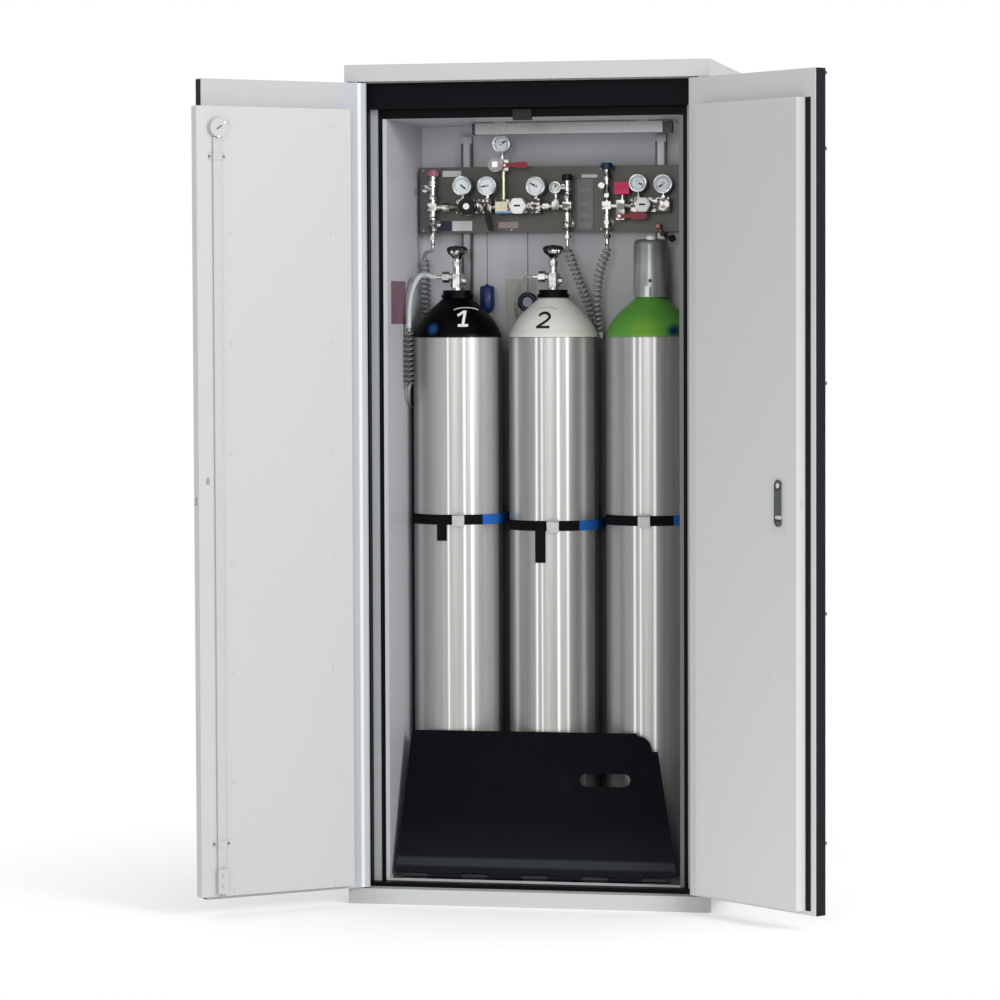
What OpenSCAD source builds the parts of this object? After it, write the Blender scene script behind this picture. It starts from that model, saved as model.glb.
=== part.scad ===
// Fireproof cabinet for three gas cylinders: steel shell over fire boards, two
// stepped fire doors standing open, a folding ramp and a stainless gas panel.
// It stands on z = 0 with its front towards -Y. Lengths are in millimetres.
// Depths (d) are counted backwards from the front of the cornice.

/* [Cabinet] */
// outside width
cab_w = 898; // [860:1:1000]
// outside depth, cornice to back
cab_d = 616; // [616:1:700]
// height of the roof
cab_h = 2050; // [2040:1:2120]
// height of the cornice and the roof skirt
roof_h = 41; // [36:1:60]
// depth of the cornice and the plinth in front of the shell
cornice_d = 38; // [38:0.5:40]
// height of the plinth
plinth_h = 38; // [36:0.5:50]
// thickness of the outer steel sheet
sheet_t = 1.5; // [1:0.1:2]
// thickness of the side and top walls
wall_t = 87; // [84:0.5:95]
// thickness of the lining boards
liner_t = 10; // [8:0.5:14]
// thickness of the back wall
back_t = 138; // [110:1:138]
// height of the floor over the plinth
floor_h = 10; // [9:0.5:14]
// thickness of the bottom sheet
bottom_t = 2; // [1.5:0.1:3]
// joint between neighbouring boards
board_gap = 0.4; // [0.2:0.1:1]

/* [Base and roof fittings] */
// width of each transport skid
skid_w = 60; // [40:1:90]
// centre of each skid from the middle
skid_x = 330; // [280:1:360]
// diameter of the levelling feet
foot_d = 36; // [25:1:40]
// thickness of the foot pads
foot_t = 8; // [5:0.5:12]
// outer diameter of the exhaust spigot
spigot_d = 75; // [50:1:100]
// height of the spigot over the roof
spigot_h = 24; // [15:1:25]
// distance of the spigot's centre from the back lining
spigot_back = 50; // [48:1:60]
// gap round the spigot in the roof, the boards and the ceiling
spigot_gap = 0.5; // [0.3:0.1:2]

/* [Door frame] */
// gap between the cornice's back and the frame's front
frame_gap = 2; // [2:0.5:3]
// depth of the rebate
rebate_d = 38; // [36:0.5:44]
// thickness of the frame sheet
frame_t = 2; // [1.5:0.1:2.5]
// frame edge from the cabinet's side
frame_in = 3; // [2:0.5:4]
// width of the frame's front face
jamb_w = 46; // [40:0.5:48]
// gap over the frame's head
head_gap = 2; // [1:0.5:4]
// height of the head's front face
head_h = 63; // [60:0.5:64]
// width of the expansion strips
strip_w = 17; // [14:0.5:18]
// thickness of the expansion strips
strip_t = 10; // [6:0.5:12]
// height of the floor tray's front lip
tray_lip = 6; // [3:0.5:8]

/* [Door leaves] */
// opening angle of both leaves
leaf_open = 140; // [100:1:149]
// thickness of the outer part
leaf_t = 32; // [30:0.5:33]
// thickness of the stepped inner part
step_t = 30; // [26:0.5:32]
// gap between the left tongue and the right leaf
step_gap = 2; // [1.8:0.1:3]
// gap over and under a leaf
leaf_gap = 3.5; // [3:0.5:5]
// hinge edge from the cabinet's side
leaf_in = 2; // [1:0.5:3]
// place of the meeting line
meet_x = -3; // [-6:0.5:0]
// gap at the meeting line
meet_gap = 3; // [2.5:0.1:5]
// reach of the tongue past the left leaf's end
tongue_w = 26.5; // [24:0.5:28]
// ledge beside the right inner panel
ledge_w = 34.5; // [33:0.5:38]
// hinge edge to the inner panel
panel_in = 62; // [60:0.5:70]
// margin under the inner panel
panel_low = 10.5; // [9:0.5:16]
// margin over the inner panel
panel_top = 66.5; // [64:0.5:72]
// skin thickness
skin_t = 1.5; // [1:0.1:2]
// pivot axis from the hinge edge
axis_in = 23; // [21:0.5:24]
// pivot axis from the front
axis_d = 10; // [9.5:0.1:11]
// radius of the hinge edge's inner corner
edge_r = 10; // [8.5:0.5:11]
// radius of the hinge edge's outer corner
nose_r = 3; // [2:0.5:5]
// pivot pin diameter
pin_d = 12; // [10:0.5:12]
// pivot pin length inside the leaf
pin_in = 42; // [30:1:60]
// radial clearance of turning pins
run_gap = 0.05; // [0.02:0.01:0.1]
// diameter of the cap plugs
cap_d = 13; // [8:0.5:16]
// height of the cap plugs
cap_t = 1.2; // [0.8:0.1:2]
// pitch of the cap plugs
cap_pitch = 263; // [240:1:268]

/* [Left leaf bolts] */
// bolt axis from the middle of the cabinet, on the closed leaf
bolt_x = 32; // [28:0.5:36]
// height of the bolt axis over the inner panel
bolt_up = 7; // [6.5:0.1:8]
// bolt diameter
bolt_d = 7; // [6:0.5:8]
// bolt travel
bolt_throw = 10; // [8:0.5:10]
// diameter of the upper latch case
latch_d = 46; // [40:0.5:50]
// upper latch case's centre under the inner panel's top
latch_drop = 51; // [49:1:59]
// height of the latch cases over the panel
latch_t = 13; // [12.5:0.5:14]
// width of the rod cover
cover_w = 21; // [16:0.5:24]
// height of the rod cover
cover_t = 6; // [5.5:0.1:7]
// height of the release button's centre
button_z = 1048; // [1000:1:1100]

/* [Right leaf lock] */
// lock centre from the inner panel's free edge
lock_in = 59; // [55:0.5:70]
// lock height
lock_z = 1000; // [950:1:1050]
// latch bolt height
latch_h = 16; // [12:0.5:20]
// latch bolt throw
latch_throw = 20; // [12:0.5:20]
// length of the lever
lever_l = 125; // [90:1:150]
// height of the lever over the leaf
lever_up = 44; // [36:1:45]
// rose diameter
rose_d = 52; // [44:1:60]

/* [Ramp] */
// depth of the hinge axis
ramp_d = 86; // [86:0.5:92]
// height of the hinge axis
ramp_z = 61; // [60:0.5:64]
// plate thickness
ramp_t = 3; // [2:0.5:4]
// length from the hinge axis to the top edge
ramp_l = 372; // [340:1:380]
// lean backwards from upright
ramp_lean = 22; // [18:0.5:24]
// gap at each side of the ramp
ramp_side = 10; // [7:0.5:30]
// hand slot's centre from the hinge axis
slot_l = 251; // [200:1:290]
// ramp hinge knuckle diameter
knuckle_d = 13; // [12:0.5:14]
// ramp hinge pin diameter
ramp_pin = 8; // [6:0.5:8]

/* [Gas cylinders] */
// gap between cylinders
cyl_gap = 23; // [20:0.5:40]
// gap between the left lining and its cylinder
cyl_side_l = 6.5; // [6:0.5:20]
// gap between the right lining and its cylinder
cyl_side_r = 2.5; // [2:0.5:20]
// gap between the strap rail and the cylinders
cyl_back = 3.5; // [3:0.5:12]
// cylinder shoulders under the panel's lower edge
cyl_drop = 263; // [250:1:330]
// height of the shoulder
dome_h = 98; // [80:1:110]
// neck diameter
neck_d = 72; // [60:1:76]
// valve height over the dome
valve_h = 98; // [90:1:105]
// handwheel diameter
wheel_d = 53; // [48:1:64]
// valve cap diameter
guard_d = 84; // [80:1:90]
// valve cap height
guard_h = 144; // [120:1:150]

/* [Straps] */
// strap height over the floor for each cylinder
strap_z = [872, 858, 872];
// webbing width
strap_w = 25; // [20:1:35]
// webbing thickness
strap_t = 1.8; // [1.2:0.1:2.5]
// gap between webbing and cylinder
strap_gap = 0.3; // [0.2:0.1:0.6]
// depth of the strap rail
strap_rail_t = 18; // [12:1:20]
// height of the strap rail
strap_rail_h = 60; // [50:1:80]

/* [Gas panel] */
// lower edge of the panel under the ceiling
panel_drop = 272; // [260:1:300]
// panel height
panel_h = 167; // [150:1:180]
// gap at each side of the panel
panel_side = 4; // [2:0.5:20]
// distance of the panel's front from the back lining
panel_back = 53; // [48:1:60]
// panel front to the mounting rails
rail_gap = 32.5; // [32:0.5:40]
// panel sheet thickness
panel_t = 1.5; // [1:0.1:2.5]
// height of the pipe line over the panel's lower edge
line_z = 65; // [55:1:75]
// pipe diameter
pipe_d = 14; // [10:0.5:16]
// knob clearance in front of its bonnet
knob_gap = 1; // [0.5:0.1:2]

/* [Hidden] */
$fn = 48;

shell_w = "lightgrey";
// outer half width, board face and inner face of the walls
half_w = cab_w / 2;
inner_x = half_w - wall_t;
board_x = inner_x + liner_t;
roof_z = cab_h - roof_h;
ceiling_z = roof_z - wall_t;
floor_z = plinth_h + floor_h;
back_in = cab_d - back_t;
spigot_pos = back_in - spigot_back;
// door frame planes
frame_d = cornice_d + frame_gap;
stop_d = frame_d + rebate_d;
frame_x = half_w - frame_in;
jamb_x = frame_x - jamb_w;
head_z = roof_z - head_gap;
lintel_z = head_z - head_h;
// leaf planes, in the closed position
leaf_z0 = plinth_h + leaf_gap;
leaf_z1 = roof_z - leaf_gap;
leaf_x = half_w - leaf_in;
axis_x = leaf_x - axis_in;
step_d = leaf_t + step_t;
pan_z0 = leaf_z0 + panel_low;
pan_z1 = leaf_z1 - panel_top;
// first plug of the regular rows under the panel's top, and how many follow it
cap_first = 299;
cap_rows = floor((pan_z1 - cap_first - pan_z0 - cap_d / 2) / cap_pitch);
pan_x = leaf_x - panel_in;
seal_t = 1.5;
left_end = -(meet_x - meet_gap / 2);
right_end = meet_x + meet_gap / 2 + seal_t;
tongue_x = left_end - tongue_w;
right_step = meet_x + meet_gap / 2 + ledge_w;
tongue_d = leaf_t + step_gap;
// bolts, in the closed position
bolt_c = step_d + bolt_up;
latch_z = pan_z1 - latch_drop;
latch_low_z = pan_z0 + 7;
latch_low_h = 60;
bolt_top_tip = ceiling_z - 10;
keep_gap = 2;
bolt_low_tip = floor_z + 2.5;
// lock
lock_x = right_step + lock_in;
// end buffers of the right leaf under its top
buffers = [10.5, 184.5, 726.5, 1261.5, 1796.5];
latch_d0 = step_d - 19;
latch_w = 8;
// cylinders
cyl_d = (2 * inner_x - cyl_side_l - cyl_side_r - 2 * cyl_gap) / 3;
cyl_r = cyl_d / 2;
cyl_pos = back_in - strap_rail_t - cyl_back - cyl_r;
cyl_pitch = cyl_d + cyl_gap;
cyl_x = cyl_side_l - inner_x + cyl_r + cyl_pitch;
cyls = [cyl_x - cyl_pitch, cyl_x, cyl_x + cyl_pitch];
pz = ceiling_z - panel_drop;
shoulder_z = pz - cyl_drop;
cyl_wall = shoulder_z - floor_z;
neck_z = shoulder_z + dome_h;
wheel_z = neck_z + valve_h;
outlet_z = neck_z + 53;
// half outline of a shoulder: share of its width past the neck, share of its height
shoulder_form = [[1, 0], [0.985, 0.08], [0.93, 0.17], [0.865, 0.28], [0.79, 0.38], [0.7, 0.48],
    [0.6, 0.57], [0.485, 0.66], [0.36, 0.75], [0.225, 0.84], [0.11, 0.92], [0, 1]];
// gas panel
panel_w = inner_x - panel_side;
panel_pos = back_in - panel_back;
line_h = pz + line_z;
line_d = panel_pos - 25;
front_d = panel_pos - 40;
// regulator blocks: left edge, right edge, centre of the knob, its radius, the bonnet's radius
regs = [[-250, -160, -217, 21, 22.5], [-150, -35, -87, 22, 20], [195, 292, 230, 20, 15]];
// valve columns: centre, height of the bonnet over the panel's lower edge, side valve's height,
// reach and radius
cols = [[-315, 142, 111, 14, 9], [31, 128, 113, 7, 6], [132, 155, 114, 10, 8]];
// strap rail over the floor, knuckle centres along the ramp's hinge
strap_rail_base = 848;
fixed_k = [-300, -150, 0, 150, 300];
moving_k = [-225, -75, 75, 225];
ramp_w = inner_x - ramp_side;
// gauges: centre, height over the panel's lower edge, radius, pointer angle, stem foot height
dials = [[-236, 118, 24, 130, 83], [-172, 117, 24, -100, 83], [-134, 222, 22, 60, 182],
    [-47, 115, 24, -60, 83], [3, 111, 15, 20, 76], [213, 120, 22, 110, 83],
    [276, 117, 23, -130, 83]];

// hoses as [x, depth, height over the panel's lower edge], drawn for a back lining at this depth
hose_back = 478;
// left cylinder: nut, bend and coil along the left wall, then round the back of the cylinder
// and up to the first column
hose_l1 = [[-296.6, 345, -112], [-302, 345, -112], [-308, 344.4, -111.6], [-320, 333, -107], [-331, 304, -109],
    [-341, 282, -131], [-346, 266, -158], [-348, 256, -188], [-348, 251, -215],
    [-348, 250, -239.2]];
coil_l1 = [[-348, 250, -240], [-348, 250, -290], [-348, 250, -340], [-348, 250, -388]];
hose_l2 = [[-348, 250, -388.8], [-348.5, 251, -400], [-352, 268, -418], [-357.5, 300, -430],
    [-358.7, 330, -437], [-358.7, 360, -434], [-356, 386, -412], [-350, 409, -350],
    [-345, 425, -280], [-343, 430, -240], [-343, 430, -220.8]];
coil_l2 = [[-343, 430, -220], [-343, 430, -170], [-342.5, 424, -120], [-342, 414, -85],
    [-341.5, 406, -62]];
hose_l3 = [[-341.4, 405.7, -61.2], [-340, 402, -54], [-334, 397, -48], [-323, 388, -46],
    [-315.5, 385, -42], [-315, 385, -37], [-315, 385, -35.6]];
// middle cylinder: coil of the second column, round the back and up to the nut
coil_a = [[31, 385, -36], [31, 385, -46], [39, 393, -68], [49, 402, -100], [60, 412, -132],
    [72, 423, -165], [84, 432, -201], [92, 437, -226], [95, 438, -238]];
hose_a = [[95.3, 438.2, -239.2], [97, 440, -248], [92, 448, -263], [62, 461, -278],
    [2, 467, -286], [-60, 458, -276], [-94, 434, -248], [-104, 408, -210], [-100, 384, -170],
    [-86, 362, -136], [-68, 348, -115], [-56, 345, -112], [-50.6, 345, -112]];
// coil of the third column, parked over its clip
coil_b = [[132, 385, -36], [132, 385, -46], [124, 386, -68], [113, 388, -100], [106, 394, -140],
    [104, 402, -190], [106, 409, -225], [107, 412, -250]];
coil_r = 13;
coil_end = coil_b[len(coil_b) - 1] + [0, back_in - hose_back, pz];

// box from x0 to x1, depth d0 to d1 and z0 to z1
module slab(x0, x1, d0, d1, z0, z1) {
    translate([x0, d0 - cab_d / 2, z0]) cube([x1 - x0, d1 - d0, z1 - z0]);
}

// round bar along Z
module rod_z(x, d, z0, z1, r) {
    translate([x, d - cab_d / 2, z0]) cylinder(r = r, h = z1 - z0);
}

// round bar along Y
module rod_y(x, z, d0, d1, r) {
    translate([x, d0 - cab_d / 2, z]) rotate([-90, 0, 0]) cylinder(r = r, h = d1 - d0);
}

// round bar along X
module rod_x(d, z, x0, x1, r) {
    translate([x0, d - cab_d / 2, z]) rotate([0, 90, 0]) cylinder(r = r, h = x1 - x0);
}

// hexagon bar along Z
module hex_z(x, d, z0, z1, r) {
    translate([x, d - cab_d / 2, z0]) cylinder(r = r, h = z1 - z0, $fn = 6);
}

// hexagon bar along X
module hex_x(d, z, x0, x1, r) {
    translate([x0, d - cab_d / 2, z]) rotate([0, 90, 0]) cylinder(r = r, h = x1 - x0, $fn = 6);
}

// both sides of the cabinet
module both() {
    children();
    mirror([1, 0, 0]) children();
}

// turns the left leaf open
module left_swing() {
    translate([-axis_x, axis_d - cab_d / 2, 0]) rotate([0, 0, -leaf_open])
        translate([axis_x, cab_d / 2 - axis_d, 0]) children();
}

// turns the right leaf open
module right_swing() {
    translate([axis_x, axis_d - cab_d / 2, 0]) rotate([0, 0, leaf_open])
        translate([-axis_x, cab_d / 2 - axis_d, 0]) children();
}

// outline of a leaf from its free end e to the hinge edge, seen from above
module leaf_outline(e, inset) {
    kx = leaf_x - edge_r;
    translate([e + inset, inset]) square([kx - e - inset, leaf_t - 2 * inset]);
    translate([kx, nose_r]) square([edge_r - inset, leaf_t - edge_r - nose_r]);
    translate([kx, inset]) square([edge_r - nose_r, nose_r]);
    translate([leaf_x - nose_r, nose_r]) circle(r = nose_r - inset);
    translate([kx, leaf_t - edge_r]) circle(r = edge_r - inset);
}

// outer part of a leaf, smaller all round by inset
module leaf_body(e, inset) {
    translate([0, -cab_d / 2, leaf_z0 + inset])
        linear_extrude(height = leaf_z1 - leaf_z0 - 2 * inset) leaf_outline(e, inset);
}

// bores for the two pivot pins
module pivot_bores() {
    rod_z(axis_x, axis_d, leaf_z0 - 1, leaf_z0 + pin_in, pin_d / 2);
    rod_z(axis_x, axis_d, leaf_z1 - pin_in, leaf_z1 + 1, pin_d / 2);
}

// two pivot pins
module pivot_pins() {
    rod_z(axis_x, axis_d, plinth_h - 12, leaf_z0 + pin_in, pin_d / 2);
    rod_z(axis_x, axis_d, leaf_z1 - pin_in, roof_z + 20, pin_d / 2);
}

// cap plugs in two columns
module caps(x_list) {
    for (x = x_list) {
        rod_y(x, pan_z1 - 38, step_d, step_d + cap_t, cap_d / 2);
        for (i = [0:cap_rows])
            rod_y(x, pan_z1 - cap_first - i * cap_pitch, step_d, step_d + cap_t, cap_d / 2);
    }
}

module side_panels() {
    color("lightgrey") both() slab(half_w - sheet_t, half_w, frame_d, cab_d, plinth_h, roof_z);
}

module back_panel() {
    color("lightgrey") slab(sheet_t - half_w, half_w - sheet_t, cab_d - sheet_t, cab_d, plinth_h, roof_z);
}

module roof_panel() {
    color("lightgrey") difference() {
        slab(-half_w, half_w, cornice_d, cab_d, roof_z, cab_h);
        slab(sheet_t - half_w, half_w - sheet_t, cornice_d + sheet_t, cab_d - sheet_t,
            roof_z + sheet_t, cab_h - sheet_t);
        slab(30 - half_w, half_w - 30, cornice_d + 30, cab_d - 30, roof_z - 1, roof_z + sheet_t + 1);
        rod_z(0, spigot_pos, cab_h - sheet_t - 1, cab_h + 1, spigot_d / 2 + spigot_gap);
    }
}

module cornice() {
    color("lightgrey") difference() {
        slab(-half_w, half_w, 0, cornice_d, roof_z, cab_h);
        slab(sheet_t - half_w, half_w - sheet_t, sheet_t, cornice_d + 1,
            roof_z + sheet_t, cab_h - sheet_t);
        both() rod_z(axis_x, axis_d, roof_z - 1, roof_z + sheet_t + 1, pin_d / 2 + 1);
    }
}

module plinth_panel() {
    color("lightgrey") difference() {
        slab(-half_w, half_w, 0, frame_d, 0, plinth_h);
        slab(-half_w - 1, half_w + 1, frame_t, frame_d + 1, -1, plinth_h - frame_t);
        both() rod_z(axis_x, axis_d, plinth_h - frame_t - 1, plinth_h + 1, pin_d / 2 + 1);
    }
}

module base_frame() {
    color("dimgrey") {
        slab(sheet_t - half_w, half_w - sheet_t, frame_d + frame_t, cab_d - sheet_t,
            plinth_h, plinth_h + bottom_t);
        for (x = [-skid_x, 0, skid_x]) difference() {
            slab(x - skid_w / 2, x + skid_w / 2, frame_d + 20, cab_d - 16, 0, plinth_h);
            slab(x - skid_w / 2 + 3, x + skid_w / 2 - 3, frame_d, cab_d, 3, plinth_h - 3);
        }
    }
}

module levelling_feet() {
    color("black") both() for (d = [frame_d + 45, cab_d - 55]) {
        rod_z(half_w - 45, d, 0, foot_t, foot_d / 2);
        rod_z(half_w - 45, d, foot_t, plinth_h, 6);
        hex_z(half_w - 45, d, plinth_h - 10, plinth_h, 11);
    }
}

module fire_boards() {
    color("white") {
        both() {
            slab(jamb_x + frame_t, half_w - sheet_t, frame_d + frame_t, stop_d + frame_t,
                plinth_h + bottom_t, roof_z);
            slab(board_x, half_w - sheet_t, stop_d + frame_t, cab_d - sheet_t,
                plinth_h + bottom_t, roof_z);
        }
        difference() {
            union() {
                slab(board_gap - board_x, board_x - board_gap, stop_d + frame_t, cab_d - sheet_t,
                    ceiling_z + liner_t, roof_z);
                slab(board_gap - board_x, board_x - board_gap, frame_d + frame_t,
                    stop_d + frame_t, lintel_z + frame_t, roof_z);
                slab(board_gap - jamb_x - frame_t, jamb_x + frame_t - board_gap, frame_d + frame_t,
                    stop_d + frame_t - board_gap, lintel_z + frame_t, roof_z);
            }
            rod_z(0, spigot_pos, ceiling_z, roof_z + 1, spigot_d / 2 + spigot_gap);
        }
        slab(board_gap - board_x, board_x - board_gap, back_in + liner_t, cab_d - sheet_t,
            plinth_h + bottom_t, ceiling_z + liner_t - board_gap);
    }
}

module liner_panels() {
    color("silver") {
        both() slab(inner_x, board_x, stop_d, back_in - board_gap, floor_z, ceiling_z - board_gap);
        slab(-board_x, board_x, back_in, back_in + liner_t, floor_z, ceiling_z + liner_t);
        difference() {
            slab(-board_x, board_x, stop_d + frame_t, back_in - board_gap, ceiling_z,
                ceiling_z + liner_t);
            rod_z(0, spigot_pos, ceiling_z - 1, ceiling_z + liner_t + 1, spigot_d / 2 + spigot_gap);
        }
    }
}

module floor_tray() {
    color("silver") {
        slab(-board_x, board_x, stop_d, back_in + liner_t, plinth_h + bottom_t, floor_z);
        slab(-inner_x, inner_x, stop_d, stop_d + 1.5, floor_z, floor_z + tray_lip);
    }
}

module door_frame() {
    web_x = jamb_x + frame_t;
    web_d = stop_d + frame_t;
    web_z = lintel_z + frame_t;
    color("black") {
        // front face
        difference() {
            slab(-frame_x, frame_x, frame_d, frame_d + frame_t, plinth_h, head_z);
            slab(-jamb_x, jamb_x, frame_d - 1, frame_d + frame_t + 1, floor_z, lintel_z);
        }
        // rebate sides and head
        both() slab(jamb_x, web_x, frame_d, web_d, floor_z - frame_t, web_z);
        slab(-web_x, web_x, frame_d, web_d, lintel_z, web_z);
        // sill with the lower bolt's hole
        difference() {
            slab(-web_x, web_x, frame_d, stop_d, floor_z - frame_t, floor_z);
            rod_z(-bolt_x, bolt_c, floor_z - frame_t - 1, floor_z + 1, bolt_d / 2 + 1.5);
        }
        // stops behind the leaves
        both() slab(board_x, web_x, stop_d, web_d, floor_z - frame_t, web_z);
        slab(-board_x, board_x, stop_d, web_d, ceiling_z, web_z);
    }
}

module expansion_strips() {
    color("grey") both()
        slab(jamb_x - strip_w, jamb_x, stop_d - strip_t, stop_d, floor_z, lintel_z);
}

module pivot_bearings() {
    color("dimgrey") both() {
        difference() {
            slab(axis_x - 15, axis_x + 15, sheet_t, axis_d + 15, roof_z + sheet_t, roof_z + 24);
            rod_z(axis_x, axis_d, roof_z, roof_z + 25, pin_d / 2 + run_gap);
        }
        difference() {
            slab(axis_x - 15, axis_x + 15, frame_t, axis_d + 15, plinth_h - 18, plinth_h - frame_t);
            rod_z(axis_x, axis_d, plinth_h - 12, plinth_h, pin_d / 2 + run_gap);
        }
    }
}

module exhaust_spigot() {
    color("lightgrey") difference() {
        union() {
            rod_z(0, spigot_pos, ceiling_z, cab_h + spigot_h, spigot_d / 2);
            rod_z(0, spigot_pos, ceiling_z - 2, ceiling_z, spigot_d / 2 + 10);
            rod_z(0, spigot_pos, cab_h, cab_h + 2, spigot_d / 2 + 10);
        }
        rod_z(0, spigot_pos, ceiling_z - 3, cab_h + spigot_h + 1, spigot_d / 2 - 2);
    }
}

module bolt_keep() {
    color("silver") difference() {
        slab(-bolt_x - 12, -bolt_x + 34, step_d + 0.8, stop_d, bolt_top_tip + keep_gap, lintel_z - 4);
        rod_z(-bolt_x, bolt_c, bolt_top_tip, lintel_z, bolt_d / 2 + 0.7);
    }
}

// mounting rail: open C profile along Z
module c_rail_z(x, d0, d1, z0, z1, w) {
    difference() {
        slab(x - w / 2, x + w / 2, d0, d1, z0, z1);
        slab(x - w / 2 + 2, x + w / 2 - 2, d0 + 3, d1 - 2, z0 - 1, z1 + 1);
        for (s = [-1, 1]) slab(x + s * 8 - 1.7, x + s * 8 + 1.7, d0 - 1, d0 + 1.8, z0 - 1, z1 + 1);
    }
}

module mounting_rails() {
    color("silver") {
        for (x = [-243, 256]) c_rail_z(x, panel_pos + rail_gap, back_in, floor_z + strap_rail_base + 70,
            ceiling_z - 27, 27);
        // rail under the ceiling with its hangers
        difference() {
            slab(-182, 302, 275, 305, ceiling_z - 31, ceiling_z - 4);
            slab(-183, 303, 277, 303, ceiling_z - 29, ceiling_z - 6);
            slab(-183, 303, 285, 295, ceiling_z - 32, ceiling_z - 28);
            for (k = [10, 22]) slab(-183, 303, 274, 275.8, ceiling_z - k, ceiling_z - k + 2);
        }
        for (x = [-120, 240]) slab(x - 15, x + 15, 280, 300, ceiling_z - 4, ceiling_z);
        slab(302, 313, 274, 306, ceiling_z - 32, ceiling_z - 3);
        slab(-190, -182, 274, 306, ceiling_z - 32, ceiling_z - 3);
        // parking clip of the third hose
        slab(coil_end[0] - 4, coil_end[0] + 9, coil_end[1] - 6, back_in, coil_end[2] - 16, coil_end[2] - 2);
        // strap rail across the back wall
        difference() {
            slab(12 - inner_x, inner_x - 12, back_in - strap_rail_t, back_in, floor_z + strap_rail_base,
                floor_z + strap_rail_base + strap_rail_h);
            slab(11 - inner_x, inner_x - 11, back_in - strap_rail_t + 2, back_in - 2,
                floor_z + strap_rail_base + 2, floor_z + strap_rail_base + strap_rail_h - 2);
        }
    }
}

module gas_panel() {
    color("silver") difference() {
        slab(-panel_w, panel_w, panel_pos, panel_pos + rail_gap, pz, pz + panel_h);
        slab(-panel_w + panel_t, panel_w - panel_t, panel_pos + panel_t, panel_pos + rail_gap + 1,
            pz + panel_t, pz + panel_h - panel_t);
    }
}

// pressure gauge: case with a recessed dial, pointer, back entry and stem
module gauge(x, z, r, a, foot) {
    f = front_d - 22;
    difference() {
        rod_y(x, z, f, f + 26, r);
        rod_y(x, z, f - 1, f + 3, r - 2.4);
    }
    translate([x, f + 2.2 - cab_d / 2, z]) rotate([0, a, 0])
        translate([-0.8, 0, -r * 0.18]) cube([1.6, 1, r * 0.9]);
    rod_y(x, z, f + 1.4, f + 4, 2.2);
    rod_z(x, f + 15, foot, z - r + 4, 5);
    hex_z(x, f + 15, foot, foot + 5, 8);
}

module gauges() {
    color("gainsboro") for (g = dials) gauge(g[0], pz + g[1], g[2], g[3], pz + g[4]);
}

module regulators() {
    color("silver") for (i = [0:2]) {
        g = regs[i];
        difference() {
            union() {
                slab(g[0], g[1], front_d - 20, front_d + 20, line_h - 17, line_h + 18);
                rod_y(g[2], line_h, front_d + 20, panel_pos, 12);
                rod_y(g[2], line_h, front_d - 30, front_d - 20, g[4]);
                rod_y(g[2], line_h, front_d - 36, front_d - 30, 14);
                if (i == 0) rod_y(-176, line_h + 3, front_d - 33, front_d - 20, 4);
            }
            rod_y(g[2], line_h, front_d - 37, front_d - 20, 4 + run_gap);
        }
    }
}

// round knob with a grip ring and its own spindle
module knob_y(x, r) {
    f = front_d - 36 - knob_gap;
    rod_y(x, line_h, f - 17, f, r);
    rod_y(x, line_h, f - 20, f - 17, r - 3);
    rod_y(x, line_h, f, f + 15, 4);
    for (i = [0:11]) translate([x, f - 15 - cab_d / 2, line_h]) rotate([0, i * 30, 0])
        translate([r - 0.6, 0, -1.5]) cube([1.6, 13, 3]);
}

// six-sided knob with rounded corners
module knob_hex(x, r) {
    f = front_d - 36 - knob_gap;
    intersection() {
        translate([x, f - cab_d / 2, line_h]) rotate([90, 0, 0]) cylinder(r = r, h = 17, $fn = 6);
        rod_y(x, line_h, f - 18, f + 1, r * 0.96);
    }
    rod_y(x, line_h, f - 20, f - 17, r * 0.72);
    rod_y(x, line_h, f, f + 15, 4);
}

module regulator_knob_1() {
    color("black") knob_y(regs[0][2], regs[0][3]);
}

module regulator_knob_2() {
    color("white") knob_hex(regs[1][2], regs[1][3]);
}

module regulator_knob_3() {
    color("white") knob_hex(regs[2][2], regs[2][3]);
}

module valve_columns() {
    color("silver") for (c = cols) difference() {
        union() {
            rod_z(c[0], front_d, pz - 35, pz + 2, 5);
            hex_z(c[0], front_d, pz - 16, pz - 7, 9);
            rod_z(c[0], front_d, pz, pz + c[1] - 20, 7);
            rod_z(c[0], front_d, pz + 6, pz + 14, 10.5);
            hex_z(c[0], front_d, pz + 18, pz + 28, 11);
            rod_z(c[0], front_d, pz + 33, pz + 36, 10);
            rod_z(c[0], front_d, pz + 39, pz + 48, 9);
            slab(c[0] - 11, c[0] + 11, front_d - 11, front_d + 11, line_h - 9, line_h + 10);
            rod_z(c[0], front_d, pz + 80, pz + 83, 9.5);
            hex_z(c[0], front_d, pz + 86, pz + 97, 11);
            rod_z(c[0], front_d, pz + c[1] - 26, pz + c[1] - 12, 10.5);
            rod_z(c[0], front_d, pz + c[1] - 20, pz + c[1], 8);
            rod_y(c[0], pz + 23, front_d, panel_pos, 6);
            rod_y(c[0], pz + 23, panel_pos - 4, panel_pos, 12);
            rod_x(front_d, pz + c[2], c[0] - c[3], c[0], 5);
            rod_y(c[0] - c[3], pz + c[2], front_d - 21, front_d + 5, 4.5);
            rod_y(c[0] - c[3], pz + c[2], front_d - 27, front_d - 21, c[4]);
        }
        rod_z(c[0], front_d, pz + c[1] - 20, pz + c[1] + 1, 4 + run_gap);
    }
}

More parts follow.
